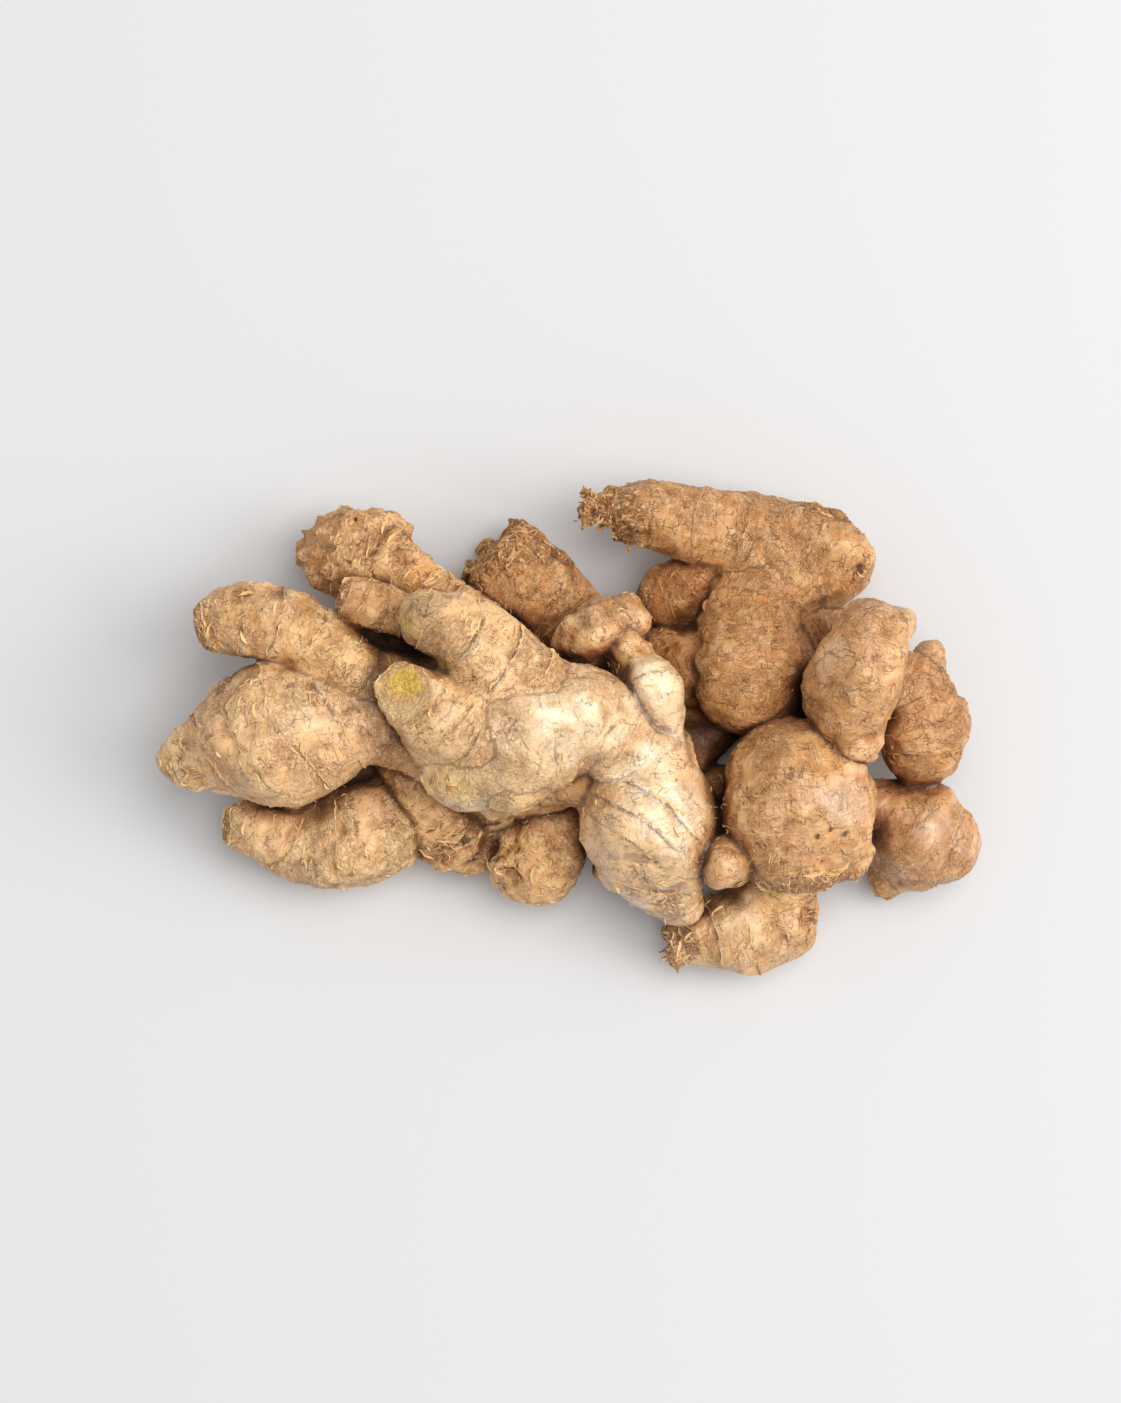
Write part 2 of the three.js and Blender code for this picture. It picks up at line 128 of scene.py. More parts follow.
bpy.ops.mesh.primitive_plane_add(size=FLOOR_SIZE, location=(0, 0, -0.0002))
floor = bpy.context.object
floor.name = "floor"
floor_paint = bpy.data.materials.new("floor_paint")
floor_paint.use_nodes = True
floor_shader = floor_paint.node_tree.nodes["Principled BSDF"]
floor_shader.inputs["Base Color"].default_value = FLOOR_COLOUR
floor_shader.inputs["Roughness"].default_value = 0.8
floor.data.materials.append(floor_paint)
print("floor and lamps in place")

# %% [markdown]
# ## The fingers
# Each finger is a tube along a spine. Its stations are x, y, z and radius in millimetres, from where it
# grows to its tip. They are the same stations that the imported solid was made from, so the fine skin lies
# where the solid lies. pitch is the distance between two leaf scale rings, lean how far they slant. tone
# makes a finger paler or browner than the rest, shine says how tight and glossy its skin is, and marked how
# strongly its rings show.

# %% One finger's spine
SPINE_STEPS = 10
LUMP_SIZE = 0.045
TIP_REACH = {"dome": 0.9, "scar": 0.45}


def smooth_curve(stations, steps):
    """Points on a Catmull-Rom curve through the stations."""
    held = np.vstack([2 * stations[0] - stations[1], stations, 2 * stations[-1] - stations[-2]])
    t = (np.arange(steps) / steps)[:, None]
    spans = []
    for a, b, c, d in zip(held, held[1:], held[2:], held[3:]):
        square, cube = 2 * a - 5 * b + 4 * c - d, 3 * b - a - 3 * c + d
        spans.append(0.5 * (2 * b + (c - a) * t + square * t**2 + cube * t**3))
    return np.vstack(spans + [stations[-1:]])


def unit(vectors):
    return vectors / np.maximum(np.linalg.norm(vectors, axis=-1, keepdims=True), 1e-9)


class Finger:
    """A finger's spine, with its radius, its distance from the root, and two axes across it."""

    def __init__(self, name, path, pitch=0, lean=0, seed=0, end="dome", tone=0.0, shine=0.3, marked=0.7):
        self.name, self.lean, self.seed, self.end = name, lean, seed, end
        self.tone, self.shine, self.marked = tone, shine, marked
        points = smooth_curve(np.array(path, float), SPINE_STEPS)
        self.centre, self.radius = points[:, :3], points[:, 3]
        strides = np.linalg.norm(np.diff(self.centre, axis=0), axis=1)
        self.along = np.concatenate([[0], np.cumsum(strides)])
        self.length, self.widest = self.along[-1], self.radius.max()
        ahead = np.vstack([self.centre[1:], self.centre[-1:]])
        behind = np.vstack([self.centre[:1], self.centre[:-1]])
        self.tangent = unit(ahead - behind)
        side = np.array([1.0, 0, 0]) if abs(self.tangent[0][2]) > 0.9 else np.array([0, 0, 1.0])
        sides = []
        for tangent in self.tangent:
            side = unit(side - tangent * (side @ tangent))
            sides.append(side)
        self.side = np.array(sides)
        self.over = np.cross(self.tangent, self.side)
        self.rings = max(1, round(self.length / pitch)) if pitch else 0

    def at(self, along, values):
        """One of the spine's rows of values at distances from the root."""
        if values.ndim == 1:
            return np.interp(along, self.along, values)
        return np.stack([np.interp(along, self.along, column) for column in values.T], axis=-1)

    def lumps(self, along, angle):
        """How much wider or narrower than a circle the section is."""
        return 1 + LUMP_SIZE * (
            np.sin(2 * angle + 0.12 * along + 1.7 * self.seed)
            + 0.8 * np.sin(3 * angle - 0.19 * along + 2.9 * self.seed)
            + 0.5 * np.sin(5 * angle + 0.31 * along + 0.6 * self.seed)
        )

    def ring_place(self, along, angle):
        """The distance along the finger, straightened so that a slanted ring has one value."""
        room = np.clip(np.minimum(along, self.length - along) / self.widest, 0, 1)
        return along - self.lean * self.widest * room * np.cos(angle - self.seed)


# %% The stations of every finger
FINGERS = [
    Finger("left_core", seed=40, tone=0.2, path=[
        (-54, 6, 27, 12), (-43, 1, 25, 11.5), (-31, -4, 24, 11), (-18, -6, 26, 11)]),
    Finger("left_palm", shine=0.35, path=[
        (-66, 11, 29, 9), (-56, 9, 29, 11.5), (-46, 7.5, 28, 11.5), (-36, 7, 26, 10)]),
    Finger("left_back", seed=45, tone=0.25, shine=0.2, path=[
        (-51, 17, 20, 8), (-38, 18.5, 19, 8.5), (-26, 17, 22, 8.5)]),
    Finger("left_lobe", pitch=11, lean=0.35, seed=1, tone=-0.1, shine=0.45, marked=0.8, path=[
        (-44, 3.6, 28, 10.5), (-52.5, 2.2, 29, 13), (-62, 0.3, 30, 15.6), (-72, -2.2, 30, 16.6),
        (-81.3, -4, 29, 13.4), (-89, -6.2, 28, 8.8), (-94, -7.6, 27, 5.6)]),
    Finger("left_shoulder", seed=2, end="scar", tone=0.1, shine=0.2, path=[
        (-74, 2, 31, 9), (-81.4, 8.2, 31, 5.6)]),
    Finger("lobe_nub", seed=46, tone=-0.05, path=[
        (-62, -10, 24, 7), (-67, -17, 19, 3.8)]),
    Finger("left_finger", pitch=7.5, lean=0.2, seed=3, end="scar", shine=0.35, marked=0.75, path=[
        (-46.5, 5, 29, 10), (-54.5, 12.4, 31, 10.4), (-62.2, 20.6, 32, 9.2), (-71.4, 24.6, 32, 9),
        (-80.3, 25.6, 31, 8.2), (-86.4, 24.4, 30, 6.4)]),
    Finger("front_left_lobe", pitch=11, lean=0.3, seed=4, end="scar", tone=-0.2, shine=0.25, marked=0.55,
           path=[
        (-45.6, -23.4, 13.6, 12.4), (-52.6, -26, 13, 13.8), (-60.4, -27.6, 12.6, 12.8),
        (-69.3, -26.4, 13.5, 9.2), (-77, -24.7, 14, 6.6), (-82.4, -24, 14, 4.8)]),
    Finger("under_core", seed=5, tone=0.12, shine=0.15, path=[
        (-40, -4, 19, 9.5), (-36, -15, 16, 10.4), (-29, -25, 12.5, 9.8)]),
    Finger("under_ridge", seed=41, tone=0.08, shine=0.15, path=[
        (-34, -24, 11, 6.5), (-25.6, -30, 9, 6), (-19, -28.6, 10, 6.4)]),
    Finger("front_nub", pitch=12, lean=0.1, seed=6, path=[
        (-2.5, -21, 15, 8.4), (-5.8, -27.6, 13.6, 10.6), (-9, -33.4, 11.4, 11.2)]),
    Finger("rooted_knob", pitch=9, lean=0.3, seed=7, tone=0.22, shine=0.1, marked=0.5, path=[
        (-14, 16, 27, 8), (-24, 25.8, 22, 6.8), (-33.6, 31.4, 20, 7.4), (-41.6, 36.6, 19, 8),
        (-48.6, 40, 17, 10.2), (-55.2, 41.6, 16, 10.8)]),
    Finger("small_bud", pitch=5.5, lean=0.1, seed=8, end="scar", tone=0.25, shine=0.15, marked=0.35, path=[
        (-35, 24.6, 33, 5.6), (-42.4, 27.4, 33, 5.8), (-48.8, 29.6, 33.6, 6.6),
        (-53.2, 30.8, 33.6, 5.6)]),
    Finger("upper_finger", pitch=8, lean=0.25, seed=9, tone=-0.12, shine=0.35, path=[
        (-7, 4, 39, 13.6), (-15.4, 12, 42, 11.6), (-23.6, 20.4, 43.6, 9.8), (-29.4, 23.8, 44, 8.6),
        (-34, 25.6, 44, 7.2)]),
    Finger("cut_finger", pitch=7.5, lean=0.2, seed=10, tone=-0.12, shine=0.4, marked=0.6, path=[
        (-14, -5.4, 38, 14.6), (-24, -1.6, 40, 13.6), (-31.6, 3.2, 43, 11), (-37, 6.6, 46.4, 8.8),
        (-40.4, 8.8, 51, 7.2)]),
    Finger("main_body", pitch=12, lean=0.3, seed=11, tone=-0.2, shine=0.6, marked=0.55, path=[
        (-25.6, -8, 37, 12.2), (-16.4, -4.6, 38, 15), (-7.2, 0.2, 39, 15), (2, 2.4, 38, 12.4),
        (8.4, -0.6, 35.6, 10.6), (14.6, -7, 31, 9)]),
    Finger("body_spur", seed=12, tone=-0.2, shine=0.4, path=[
        (3.5, 5.6, 42, 6.5), (8.8, 11, 42, 1.8)]),
    Finger("body_corner", seed=13, tone=-0.1, path=[
        (-18.6, -12, 37, 7.5), (-18.8, -20, 33, 2)]),
    Finger("banded_bulb", pitch=7.5, lean=-1.1, seed=14, tone=-0.18, shine=0.85, marked=1.0, path=[
        (18.8, -6.8, 28.6, 11), (18.2, -14.6, 28, 15.2), (18.4, -22.8, 27, 16.6),
        (20, -31, 25, 14.2), (23.6, -38.6, 22, 9.4), (26.4, -43.2, 20, 6)]),
    Finger("banded_nub", seed=48, tone=0.15, path=[
        (13, -29, 18, 6.5), (8.4, -34.4, 14, 3.4)]),
    Finger("bright_bulb", pitch=8, lean=0.1, seed=15, tone=-0.45, shine=1.0, path=[
        (23.4, -6, 30.6, 5.6), (22.6, 0.6, 33, 4.2), (20, 8.6, 36, 6.1), (18.6, 12, 36, 5.7)]),
    Finger("pale_link", seed=16, tone=0.32, shine=0.45, path=[
        (-1.4, 13.6, 22, 6), (3.4, 18.4, 25, 7.6), (8.8, 22.8, 27.6, 8), (13, 25.8, 27, 6.2)]),
    Finger("pale_neck", seed=49, tone=0.15, shine=0.4, path=[
        (11, 20, 27, 7), (14.4, 16.4, 30, 6.2), (17, 13, 33, 5.2)]),
    Finger("brown_lobe", pitch=11, lean=0.2, seed=17, end="scar", tone=0.5, shine=0.15, marked=0.4, path=[
        (6.4, 20.4, 15, 7.6), (-0.6, 25, 12.6, 9.4), (-7.6, 31.4, 11.8, 11.8),
        (-12.8, 36, 11.4, 12.4), (-15.8, 38.6, 11.4, 11.8)]),
    Finger("brown_nub", seed=18, end="scar", tone=0.9, shine=0.05, path=[
        (-7.4, 35, 13, 9), (-5.2, 41.2, 13, 6.4)]),
    Finger("horn", pitch=12, lean=0.3, seed=19, end="scar", tone=0.5, marked=0.35, path=[
        (63, 39.6, 15.5, 11.4), (56.4, 40.6, 13.6, 14.4), (47.6, 43.6, 15.5, 12.2),
        (37, 47.4, 19, 9.8), (26, 49.6, 22, 9), (16, 51.6, 24, 7.6), (9.4, 53, 25, 4.8)]),
    Finger("horn_heel", seed=42, end="scar", tone=0.7, shine=0.2, path=[
        (59, 45, 15, 9.4), (66, 48, 16, 5)]),
    Finger("horn_nub", pitch=6.5, lean=0.1, seed=20, tone=0.92, marked=0.3, path=[
        (35, 40, 16, 6.6), (29.6, 34.6, 14, 8.2), (23.4, 31.4, 13, 8.2)]),
    Finger("back_body", seed=21, tone=0.56, path=[
        (50, 37, 16, 12.4), (45, 30, 17, 11.6), (43.4, 22, 18, 14.6), (43, 15.4, 18, 16.4),
        (42.4, 10.6, 18, 14.4)]),
    Finger("back_side", seed=44, tone=0.52, shine=0.2, path=[
        (50, 26, 13, 10), (59, 26, 12, 8.4)]),
    Finger("back_shoulder", seed=22, tone=0.72, shine=0.25, path=[
        (40, 13, 18, 10.6), (29.8, 15, 17, 9.6), (23.6, 18.4, 16, 6.6)]),
    Finger("back_foot", seed=23, tone=0.7, shine=0.2, path=[
        (38, 7, 12, 8.8), (30.4, 3.4, 9, 6.8)]),
    Finger("round_bulb", pitch=10, lean=0.15, seed=24, end="scar", tone=0.34, shine=0.45, marked=0.2, path=[
        (52.9, -12.8, 24.8, 16.8), (53.4, -17.4, 25.6, 18), (54, -22, 25, 18),
        (54.6, -25.8, 23.6, 17.2), (55, -28.8, 21.8, 15.6)]),
    Finger("smooth_lobe", seed=25, tone=0.42, shine=0.45, path=[
        (66.4, -1.4, 30, 7.6), (65.8, 4.6, 33, 10.2), (67.6, 11.4, 35, 11.2), (70, 18, 36, 10.6),
        (71.4, 22.6, 36, 8.8)]),
    Finger("smooth_bump", seed=26, tone=0.1, shine=0.7, path=[
        (74.4, 21.2, 35, 6.4), (77.8, 24.8, 34.4, 4.4)]),
    Finger("smooth_root", seed=27, tone=0.5, path=[
        (52, 11, 14, 8), (62, 8, 18, 8), (67, 8, 28, 7)]),
    Finger("right_bulb", pitch=8, lean=0.2, seed=28, tone=0.64, shine=0.35, marked=0.5, path=[
        (77, 12, 24, 7), (82.4, 7.6, 21, 9), (85, 0.6, 18.6, 11.6), (85.6, -4.8, 17.6, 10.4)]),
    Finger("right_nub", seed=29, tone=0.25, shine=0.5, path=[
        (83.6, 8, 20, 5.4), (86.8, 17.4, 20, 4)]),
    Finger("corner_bulb", pitch=9.5, lean=0.2, seed=30, tone=0.5, shine=0.6, marked=0.4, path=[
        (63, -17, 14, 7.6), (74, -20.4, 13, 8.6), (82.6, -25.6, 12.4, 13.2), (88, -28, 12, 12.4),
        (91.4, -29.2, 12, 9.4)]),
    Finger("corner_nub", seed=31, tone=0.25, shine=0.4, path=[
        (80, -31, 10, 7.4), (77.4, -37.6, 7.6, 5)]),
    Finger("ring_bud", pitch=4.4, lean=0.05, seed=32, tone=0.12, shine=0.5, path=[
        (38, -31.2, 22, 6), (37, -32.2, 30, 6.5), (36.4, -33.2, 35.6, 5.2)]),
    Finger("front_lobe", pitch=8, lean=0.15, seed=33, end="scar", tone=-0.02, shine=0.55, marked=0.6, path=[
        (51.6, -47.6, 11, 9.4), (46.2, -48.6, 10.4, 10.8), (39.4, -49.6, 10, 10.6),
        (32.4, -51, 10, 8), (27, -52.4, 10, 5.6)]),
    Finger("front_neck", seed=34, path=[
        (54, -34, 16, 9), (48, -39, 14, 8.6), (44, -44, 12, 8.6)]),
    Finger("front_collar", seed=35, tone=0.2, path=[
        (53, -45.6, 13, 5.4), (57, -44.6, 13, 4)]),
    Finger("link_left", seed=50, tone=0.3, path=[
        (-52, -16, 12, 7.2), (-38, -11, 13, 7.6)]),
    Finger("link_bulbs", seed=36, tone=0.3, path=[
        (19, -18, 15, 8.4), (36, -17, 10, 7.6), (54, -18, 15, 8.4)]),
    Finger("link_back", seed=37, tone=0.5, path=[
        (53, -12, 17, 9), (50, 0, 14, 9), (45, 10, 15, 9)]),
    Finger("link_middle", seed=43, tone=0.45, path=[
        (20, -12, 17, 8), (30, -3, 9, 7.4), (40, 6, 10, 8)]),
    Finger("link_nub", seed=38, tone=0.2, path=[
        (-4, -24, 12, 7), (6, -22, 13, 7), (15, -20, 20, 8)]),
    Finger("link_front", seed=39, tone=0.2, path=[
        (-28, -18, 13, 8.4), (-17, -15, 16, 8.6), (-6, -12, 21, 9), (4, -9, 27, 9)]),
]
# Fingers that grew as one flesh
CLANS = {
    "arm": "left_core left_palm left_back left_lobe left_shoulder lobe_nub left_finger link_left",
    "body": "main_body cut_finger upper_finger body_spur body_corner link_front banded_bulb "
        "banded_nub link_nub link_bulbs",
    "bright": "bright_bulb pale_neck",
    "pale": "pale_link brown_lobe brown_nub",
    "back": "horn horn_heel back_body back_side back_foot link_back",
    "shoulder": "back_shoulder link_middle",
    "knob": "rooted_knob small_bud",
    "under": "under_core under_ridge",
    "lobe": "smooth_lobe smooth_bump",
    "right": "right_bulb right_nub smooth_root",
    "corner": "corner_bulb corner_nub",
    "front": "front_lobe front_neck front_collar",
}
print(len(FINGERS), "fingers,", round(sum(f.length for f in FINGERS)), "mm of them")

# %% [markdown]
# ## From spines to one body
# A primitive can't follow a spine that swells and shrinks with a lumpy section, so each finger's tube is
# woven in mesh code: rows of points round the spine, domed at both ends. One finger was cut with a knife:
# Bisect slices its mesh on a plane and fills the cut. The tubes run into each other, and that is fine,
# because the voxel Remesh that follows keeps only their common outside.

# %% Weave the tubes
MESH_ROW = 1.4  # millimetres between rows
MESH_SIDES = 40
DOME_STEPS = np.radians([18, 36, 54, 72])


def new_piece(name, points, faces):
    """An object from points in millimetres."""
    mesh = bpy.data.meshes.new(name)
    mesh.from_pydata((np.asarray(points) * MM).tolist(), [], faces)
    return add_object(name, mesh)


def tube(finger):
    """A finger as a closed tube with domed ends."""
    angle = np.arange(MESH_SIDES) / MESH_SIDES * 2 * math.pi
    reach = TIP_REACH[finger.end]
    flatness = 0.5 if finger.end == "scar" else 1
    body = np.linspace(0, finger.length, max(3, round(finger.length / MESH_ROW)))
    rows = [(0, math.cos(a), -0.9 * math.sin(a)) for a in DOME_STEPS[::-1]]
    rows += [(along, 1, 0) for along in body]
    rows += [(finger.length, math.cos(a) ** flatness, reach * math.sin(a)) for a in DOME_STEPS]
    rings = []
    for along, share, beyond in rows:
        radius = finger.at(along, finger.radius)
        wide = (radius * share * finger.lumps(along, angle))[:, None]
        middle = finger.at(along, finger.centre) + finger.at(along, finger.tangent) * beyond * radius
        across = np.cos(angle)[:, None] * finger.at(along, finger.side)
        across = across + np.sin(angle)[:, None] * finger.at(along, finger.over)
        rings.append(middle + wide * across)
    root = finger.centre[0] - finger.tangent[0] * 0.9 * finger.radius[0]
    tip = finger.centre[-1] + finger.tangent[-1] * reach * finger.radius[-1]
    points = np.vstack([root[None]] + rings + [tip[None]])
    faces = []
    for i in range(MESH_SIDES):
        j = (i + 1) % MESH_SIDES
        faces.append((0, 1 + j, 1 + i))
        for row in range(len(rings) - 1):
            a, b = 1 + row * MESH_SIDES, 1 + (row + 1) * MESH_SIDES
            faces.append((a + i, a + j, b + j, b + i))
        last = 1 + (len(rings) - 1) * MESH_SIDES
        faces.append((last + i, last + j, len(points) - 1))
    return new_piece(finger.name, points, faces)


tubes = {finger.name: tube(finger) for finger in FINGERS}
print("wove", len(tubes), "tubes")

# %% Cut one finger with a knife
KNIFE_AT = np.array([-39.4, 8.2, 49])
KNIFE_FACING = unit(np.array([-0.46, 0.16, 0.87]))

pick(tubes["cut_finger"])
bpy.ops.object.mode_set(mode="EDIT")
bpy.ops.mesh.select_all(action="SELECT")
bpy.ops.mesh.bisect(
    plane_co=KNIFE_AT * MM, plane_no=KNIFE_FACING, use_fill=True, clear_outer=True
)
bpy.ops.object.mode_set(mode="OBJECT")
print("the cut face lies at", KNIFE_AT, "mm")

# %% [markdown]
# ## Stubs
# The crown of the left knob bristles with the stubs of roots, the horn's tip is torn to fibres, and two old
# scars have a ragged rim. Each is a fan of short cones round one place, spread by the golden angle so that
# no two line up, with their feet sunk well in.

# %% Crowns of root stubs and torn fibres
GOLDEN_ANGLE = math.pi * (3 - math.sqrt(5))
CROWNS = [
    {"at": (-55, 41.4, 16), "facing": (-0.25, 0.75, 0.6), "cone": (8, 90), "count": 30,
     "reach": (6, 12.2), "thick": 1.7, "seed": 5},
    {"at": (9, 52.6, 25), "facing": (-0.98, 0.1, 0.15), "cone": (5, 44), "count": 16,
     "reach": (1, 8.8), "thick": 0.8, "seed": 8},
    {"at": (14, 51, 24), "facing": (-0.72, -0.66, 0.2), "cone": (10, 78), "count": 20,
     "reach": (5, 9.2), "thick": 1.1, "seed": 12},
    {"at": (-13.6, 37.6, 11.4), "facing": (-0.66, 0.68, 0.32), "cone": (40, 58), "count": 22,
     "reach": (6, 12.9), "thick": 1.6, "seed": 3},
    {"at": (28, -52.4, 10), "facing": (-0.97, -0.2, 0.2), "cone": (15, 62), "count": 14,
     "reach": (2, 7.6), "thick": 1.0, "seed": 4},
]
ROOT_STUBS = [
    (-56.2, 52.4), (-52.3, 52.8), (-47.8, 52.4), (-60, 51.2), (-40, 47.8), (-63.5, 47), (-43.6, 50.4),
]
CROWNS += [
    {"at": (0.96 * x, y - 5.4, 18), "facing": (0.04 * x, 5.4, 1.6), "cone": (0, 6), "count": 1,
     "reach": (1, 6.3), "thick": 1.1, "seed": 60} for x, y in ROOT_STUBS
]


def crown(at, facing, cone, count, reach, thick, seed):
    """Cones that fan out of one place, between two angles from the way that it faces."""
    draw = np.random.default_rng(seed)
    turn = Vector(facing).to_track_quat("Z", "Y")
    stubs = []
    for i in range(count):
        share = math.sqrt((i + 0.8 * draw.random()) / count)
        polar = math.radians(cone[0] + (cone[1] - cone[0]) * share)
        around = i * GOLDEN_ANGLE + 0.5 * draw.random()
        level = math.sin(polar)
        way = Vector((level * math.cos(around), level * math.sin(around), math.cos(polar)))
        way = turn @ way
        far = reach[1] * (0.9 + 0.16 * draw.random())
        middle = Vector(at) + way * (reach[0] + far) / 2
        wide = thick * (0.75 + 0.5 * draw.random())
        bpy.ops.mesh.primitive_cone_add(
            vertices=8, radius1=wide * MM, radius2=0.8 * wide * MM, depth=(far - reach[0]) * MM,
            location=middle * MM, rotation=way.to_track_quat("Z", "Y").to_euler())
        stubs.append(bpy.context.object)
    return stubs


stubs = [stub for place in CROWNS for stub in crown(**place)]
print(len(stubs), "stubs")

# %% [markdown]
# ## One skin
# Join makes one object of all the tubes and stubs, and a Remesh modifier in voxel mode rebuilds their
# common outside as an even net of small squares, each a little under a millimetre wide. A voxel of a
# little under a millimetre is as fine as the limit on a piece's triangles allows. A little smoothing takes
# the steps of the voxels away again.

# %% Fuse and remesh
VOXEL = 0.935  # millimetres

skin = tubes.pop("main_body")
pick(skin, *tubes.values(), *stubs)
bpy.ops.object.join()
bpy.ops.object.transform_apply(location=True, rotation=True, scale=True)
skin.name = skin.data.name = "ginger_skin"


def apply_modifier(piece, kind, **settings):
    """Adds a modifier, sets it and applies it."""
    modifier = piece.modifiers.new(kind.lower(), kind)
    for setting, value in settings.items():
        setattr(modifier, setting, value)
    bpy.context.view_layer.objects.active = piece
    bpy.ops.object.modifier_apply(modifier=modifier.name)


apply_modifier(skin, "REMESH", mode="VOXEL", voxel_size=VOXEL * MM)
apply_modifier(skin, "SMOOTH", factor=0.5, iterations=3)
print("the skin has", len(skin.data.polygons), "faces")

# %% [markdown]
# ## Reading the skin
# Rings, grain and painted shade all depend on where a point lies on its finger. So every vertex finds the
# finger whose tube it lies on, how far along that finger it is, and how near the next finger comes. The gap
# between the two says where a crease runs. Fingers of one clan grew as one flesh, so their creases are
# rounded off. Fingers of two clans only touch, so the cleft between them stays sharp.

# %% Find each vertex's finger
def read_skin(points):
    """Each point's finger, the next nearest one, the gap between them, and its place on its finger."""
    count = len(points)
    found = {"owner": np.zeros(count, int), "rival": np.zeros(count, int)}
    best, second = np.full(count, 90.0), np.full(count, 99.0)
    along, across = np.zeros(count), np.zeros((count, 2))
    for number, finger in enumerate(FINGERS):
        margin = finger.widest + 8
        inside = points > finger.centre.min(axis=0) - margin
        inside &= points < finger.centre.max(axis=0) + margin
        near = np.flatnonzero(inside.all(axis=1))
        offset = points[near][:, None] - finger.centre[None]
        nearest = (np.linalg.norm(offset, axis=2) - finger.radius).argmin(axis=1)
        offset = points[near] - finger.centre[nearest]
        far = finger.along[nearest] + (offset * finger.tangent[nearest]).sum(axis=1)
        held = np.clip(far, 0, finger.length)
        offset = points[near] - finger.at(held, finger.centre)
        x = (offset * finger.at(held, finger.side)).sum(axis=1)
        y = (offset * finger.at(held, finger.over)).sum(axis=1)
        wide = np.hypot(x, y) / finger.lumps(held, np.arctan2(y, x))
        reach = np.where(far > finger.length, TIP_REACH[finger.end], 0.9)
        gap = np.hypot(wide, (far - held) / reach) - finger.at(held, finger.radius)
        closer = gap < best[near]
        between = ~closer & (gap < second[near])
        first, other = near[closer], near[between]
        second[first], found["rival"][first] = best[first], found["owner"][first]
        second[other], found["rival"][other] = gap[between], number
        best[first], found["owner"][first] = gap[closer], number
        along[first] = far[closer]
        across[first] = np.stack([x[closer], y[closer]], axis=1)
    found["crease"] = second - best
    found["along"], found["across"] = along, across
    return found


def points_of(piece):
    """The piece's vertices in millimetres."""
    points = np.empty(len(piece.data.vertices) * 3, np.float32)
    piece.data.vertices.foreach_get("co", points)
    return points.reshape(-1, 3).astype(float) / MM


def move_points(piece, points):
    piece.data.vertices.foreach_set("co", (points * MM).astype(np.float32).ravel())
    piece.data.update()


def normals_of(piece):
    normals = np.empty(len(piece.data.vertices) * 3, np.float32)
    piece.data.vertex_normals.foreach_get("vector", normals)
    return normals.reshape(-1, 3).astype(float)


clan_of_name = {name: clan for clan, names in CLANS.items() for name in names.split()}
clan_of = np.array([clan_of_name.get(finger.name, finger.name) for finger in FINGERS])
read = read_skin(points_of(skin))
print("widest crease gap", round(read["crease"].max(), 1), "mm")

# %% Round off the creases inside a clan
BLEND_WIDTH = 3.0  # millimetres
BLEND_ROUNDS = 18

same_clan = clan_of[read["owner"]] == clan_of[read["rival"]]
weight = np.where(same_clan, np.exp(-(read["crease"] / BLEND_WIDTH) ** 2), 0)
group = skin.vertex_groups.new(name="blend")
for level in np.unique(np.round(weight[weight > 0.05], 1)):
    chosen = np.flatnonzero(np.round(weight, 1) == level)
    group.add(chosen.tolist(), float(level), "REPLACE")
apply_modifier(skin, "SMOOTH", factor=0.6, iterations=BLEND_ROUNDS, vertex_group="blend")
skin.vertex_groups.clear()
read = read_skin(points_of(skin))
print(int((weight > 0.5).sum()), "vertices lie in rounded creases")

# %% [markdown]
# ## Relief
# The skin isn't smooth. It has soft lumps and folds, steps down just past each ring, wrinkles where it
# dried, and is rough at its scars. Each vertex moves along its normal by the sum of these, in
# millimetres. Patterns come from Perlin noise, which is random but always the same, so every run gives the
# same root. The vertices could also be moved by Displace modifiers, but those can't follow the rings.

# %% Noise on the skin
def noise_at(points, size, shift=0.0):
    """Perlin noise, about -1 to 1, with lumps of a size in millimetres."""
    return np.array([noise.noise(place) for place in (points / size + shift).tolist()])


def fade(values, low, high):
    """0 below low, 1 above high, and smooth between."""
    t = np.clip((values - low) / (high - low), 0, 1)
    return t * t * (3 - 2 * t)


def bell(values, width):
    return np.exp(-((values / width) ** 2))


def draw_of(whole, seed):
    """A number from 0 to 1 that is always the same for the same whole number."""
    return np.abs(np.sin(whole * 127.1 + seed * 311.7) * 43758.5453) % 1


# %% Rings and grain
RING_WOBBLE = 0.45  # millimetres
PLAIN_PITCH = 10.0  # where a finger has no rings
points = points_of(skin)
owner, crease = read["owner"], read["crease"]
angle = np.arctan2(read["across"][:, 1], read["across"][:, 0])
pitch = np.full(len(points), PLAIN_PITCH)
row, ringed, beyond = np.zeros((3, len(points)))
traits = np.array([(finger.tone, finger.shine, finger.marked) for finger in FINGERS])
tone, shine, marked = traits[owner].T
wobble = RING_WOBBLE * (noise_at(points, 6.0, 31.7) + 0.5 * noise_at(points, 2.3, 7.1))
for number, finger in enumerate(FINGERS):
    mine = np.flatnonzero(owner == number)
    if len(mine) == 0:
        continue
    straight = finger.ring_place(read["along"][mine], angle[mine]) + wobble[mine]
    beyond[mine] = (read["along"][mine] - finger.length) / finger.radius[-1]
    if finger.rings:
        pitch[mine] = finger.length / finger.rings
        row[mine] = straight / pitch[mine]
        ringed[mine] = fade(row[mine], 0.3, 0.6) * fade(finger.rings + 0.7 - row[mine], 0, 0.3)
nearest_ring = np.round(row)
ring_distance = (row - nearest_ring) * pitch
ring_power = 0.35 + 0.65 * draw_of(nearest_ring + 13 * owner, 5)
ring_power *= marked * ringed * fade(noise_at(points, 9.0, 3.3), -0.45, 0.1) * fade(crease, 0.5, 2.5)
print("vertices near a ring:", int((np.abs(ring_distance) < 1)[ringed > 0.5].sum()))

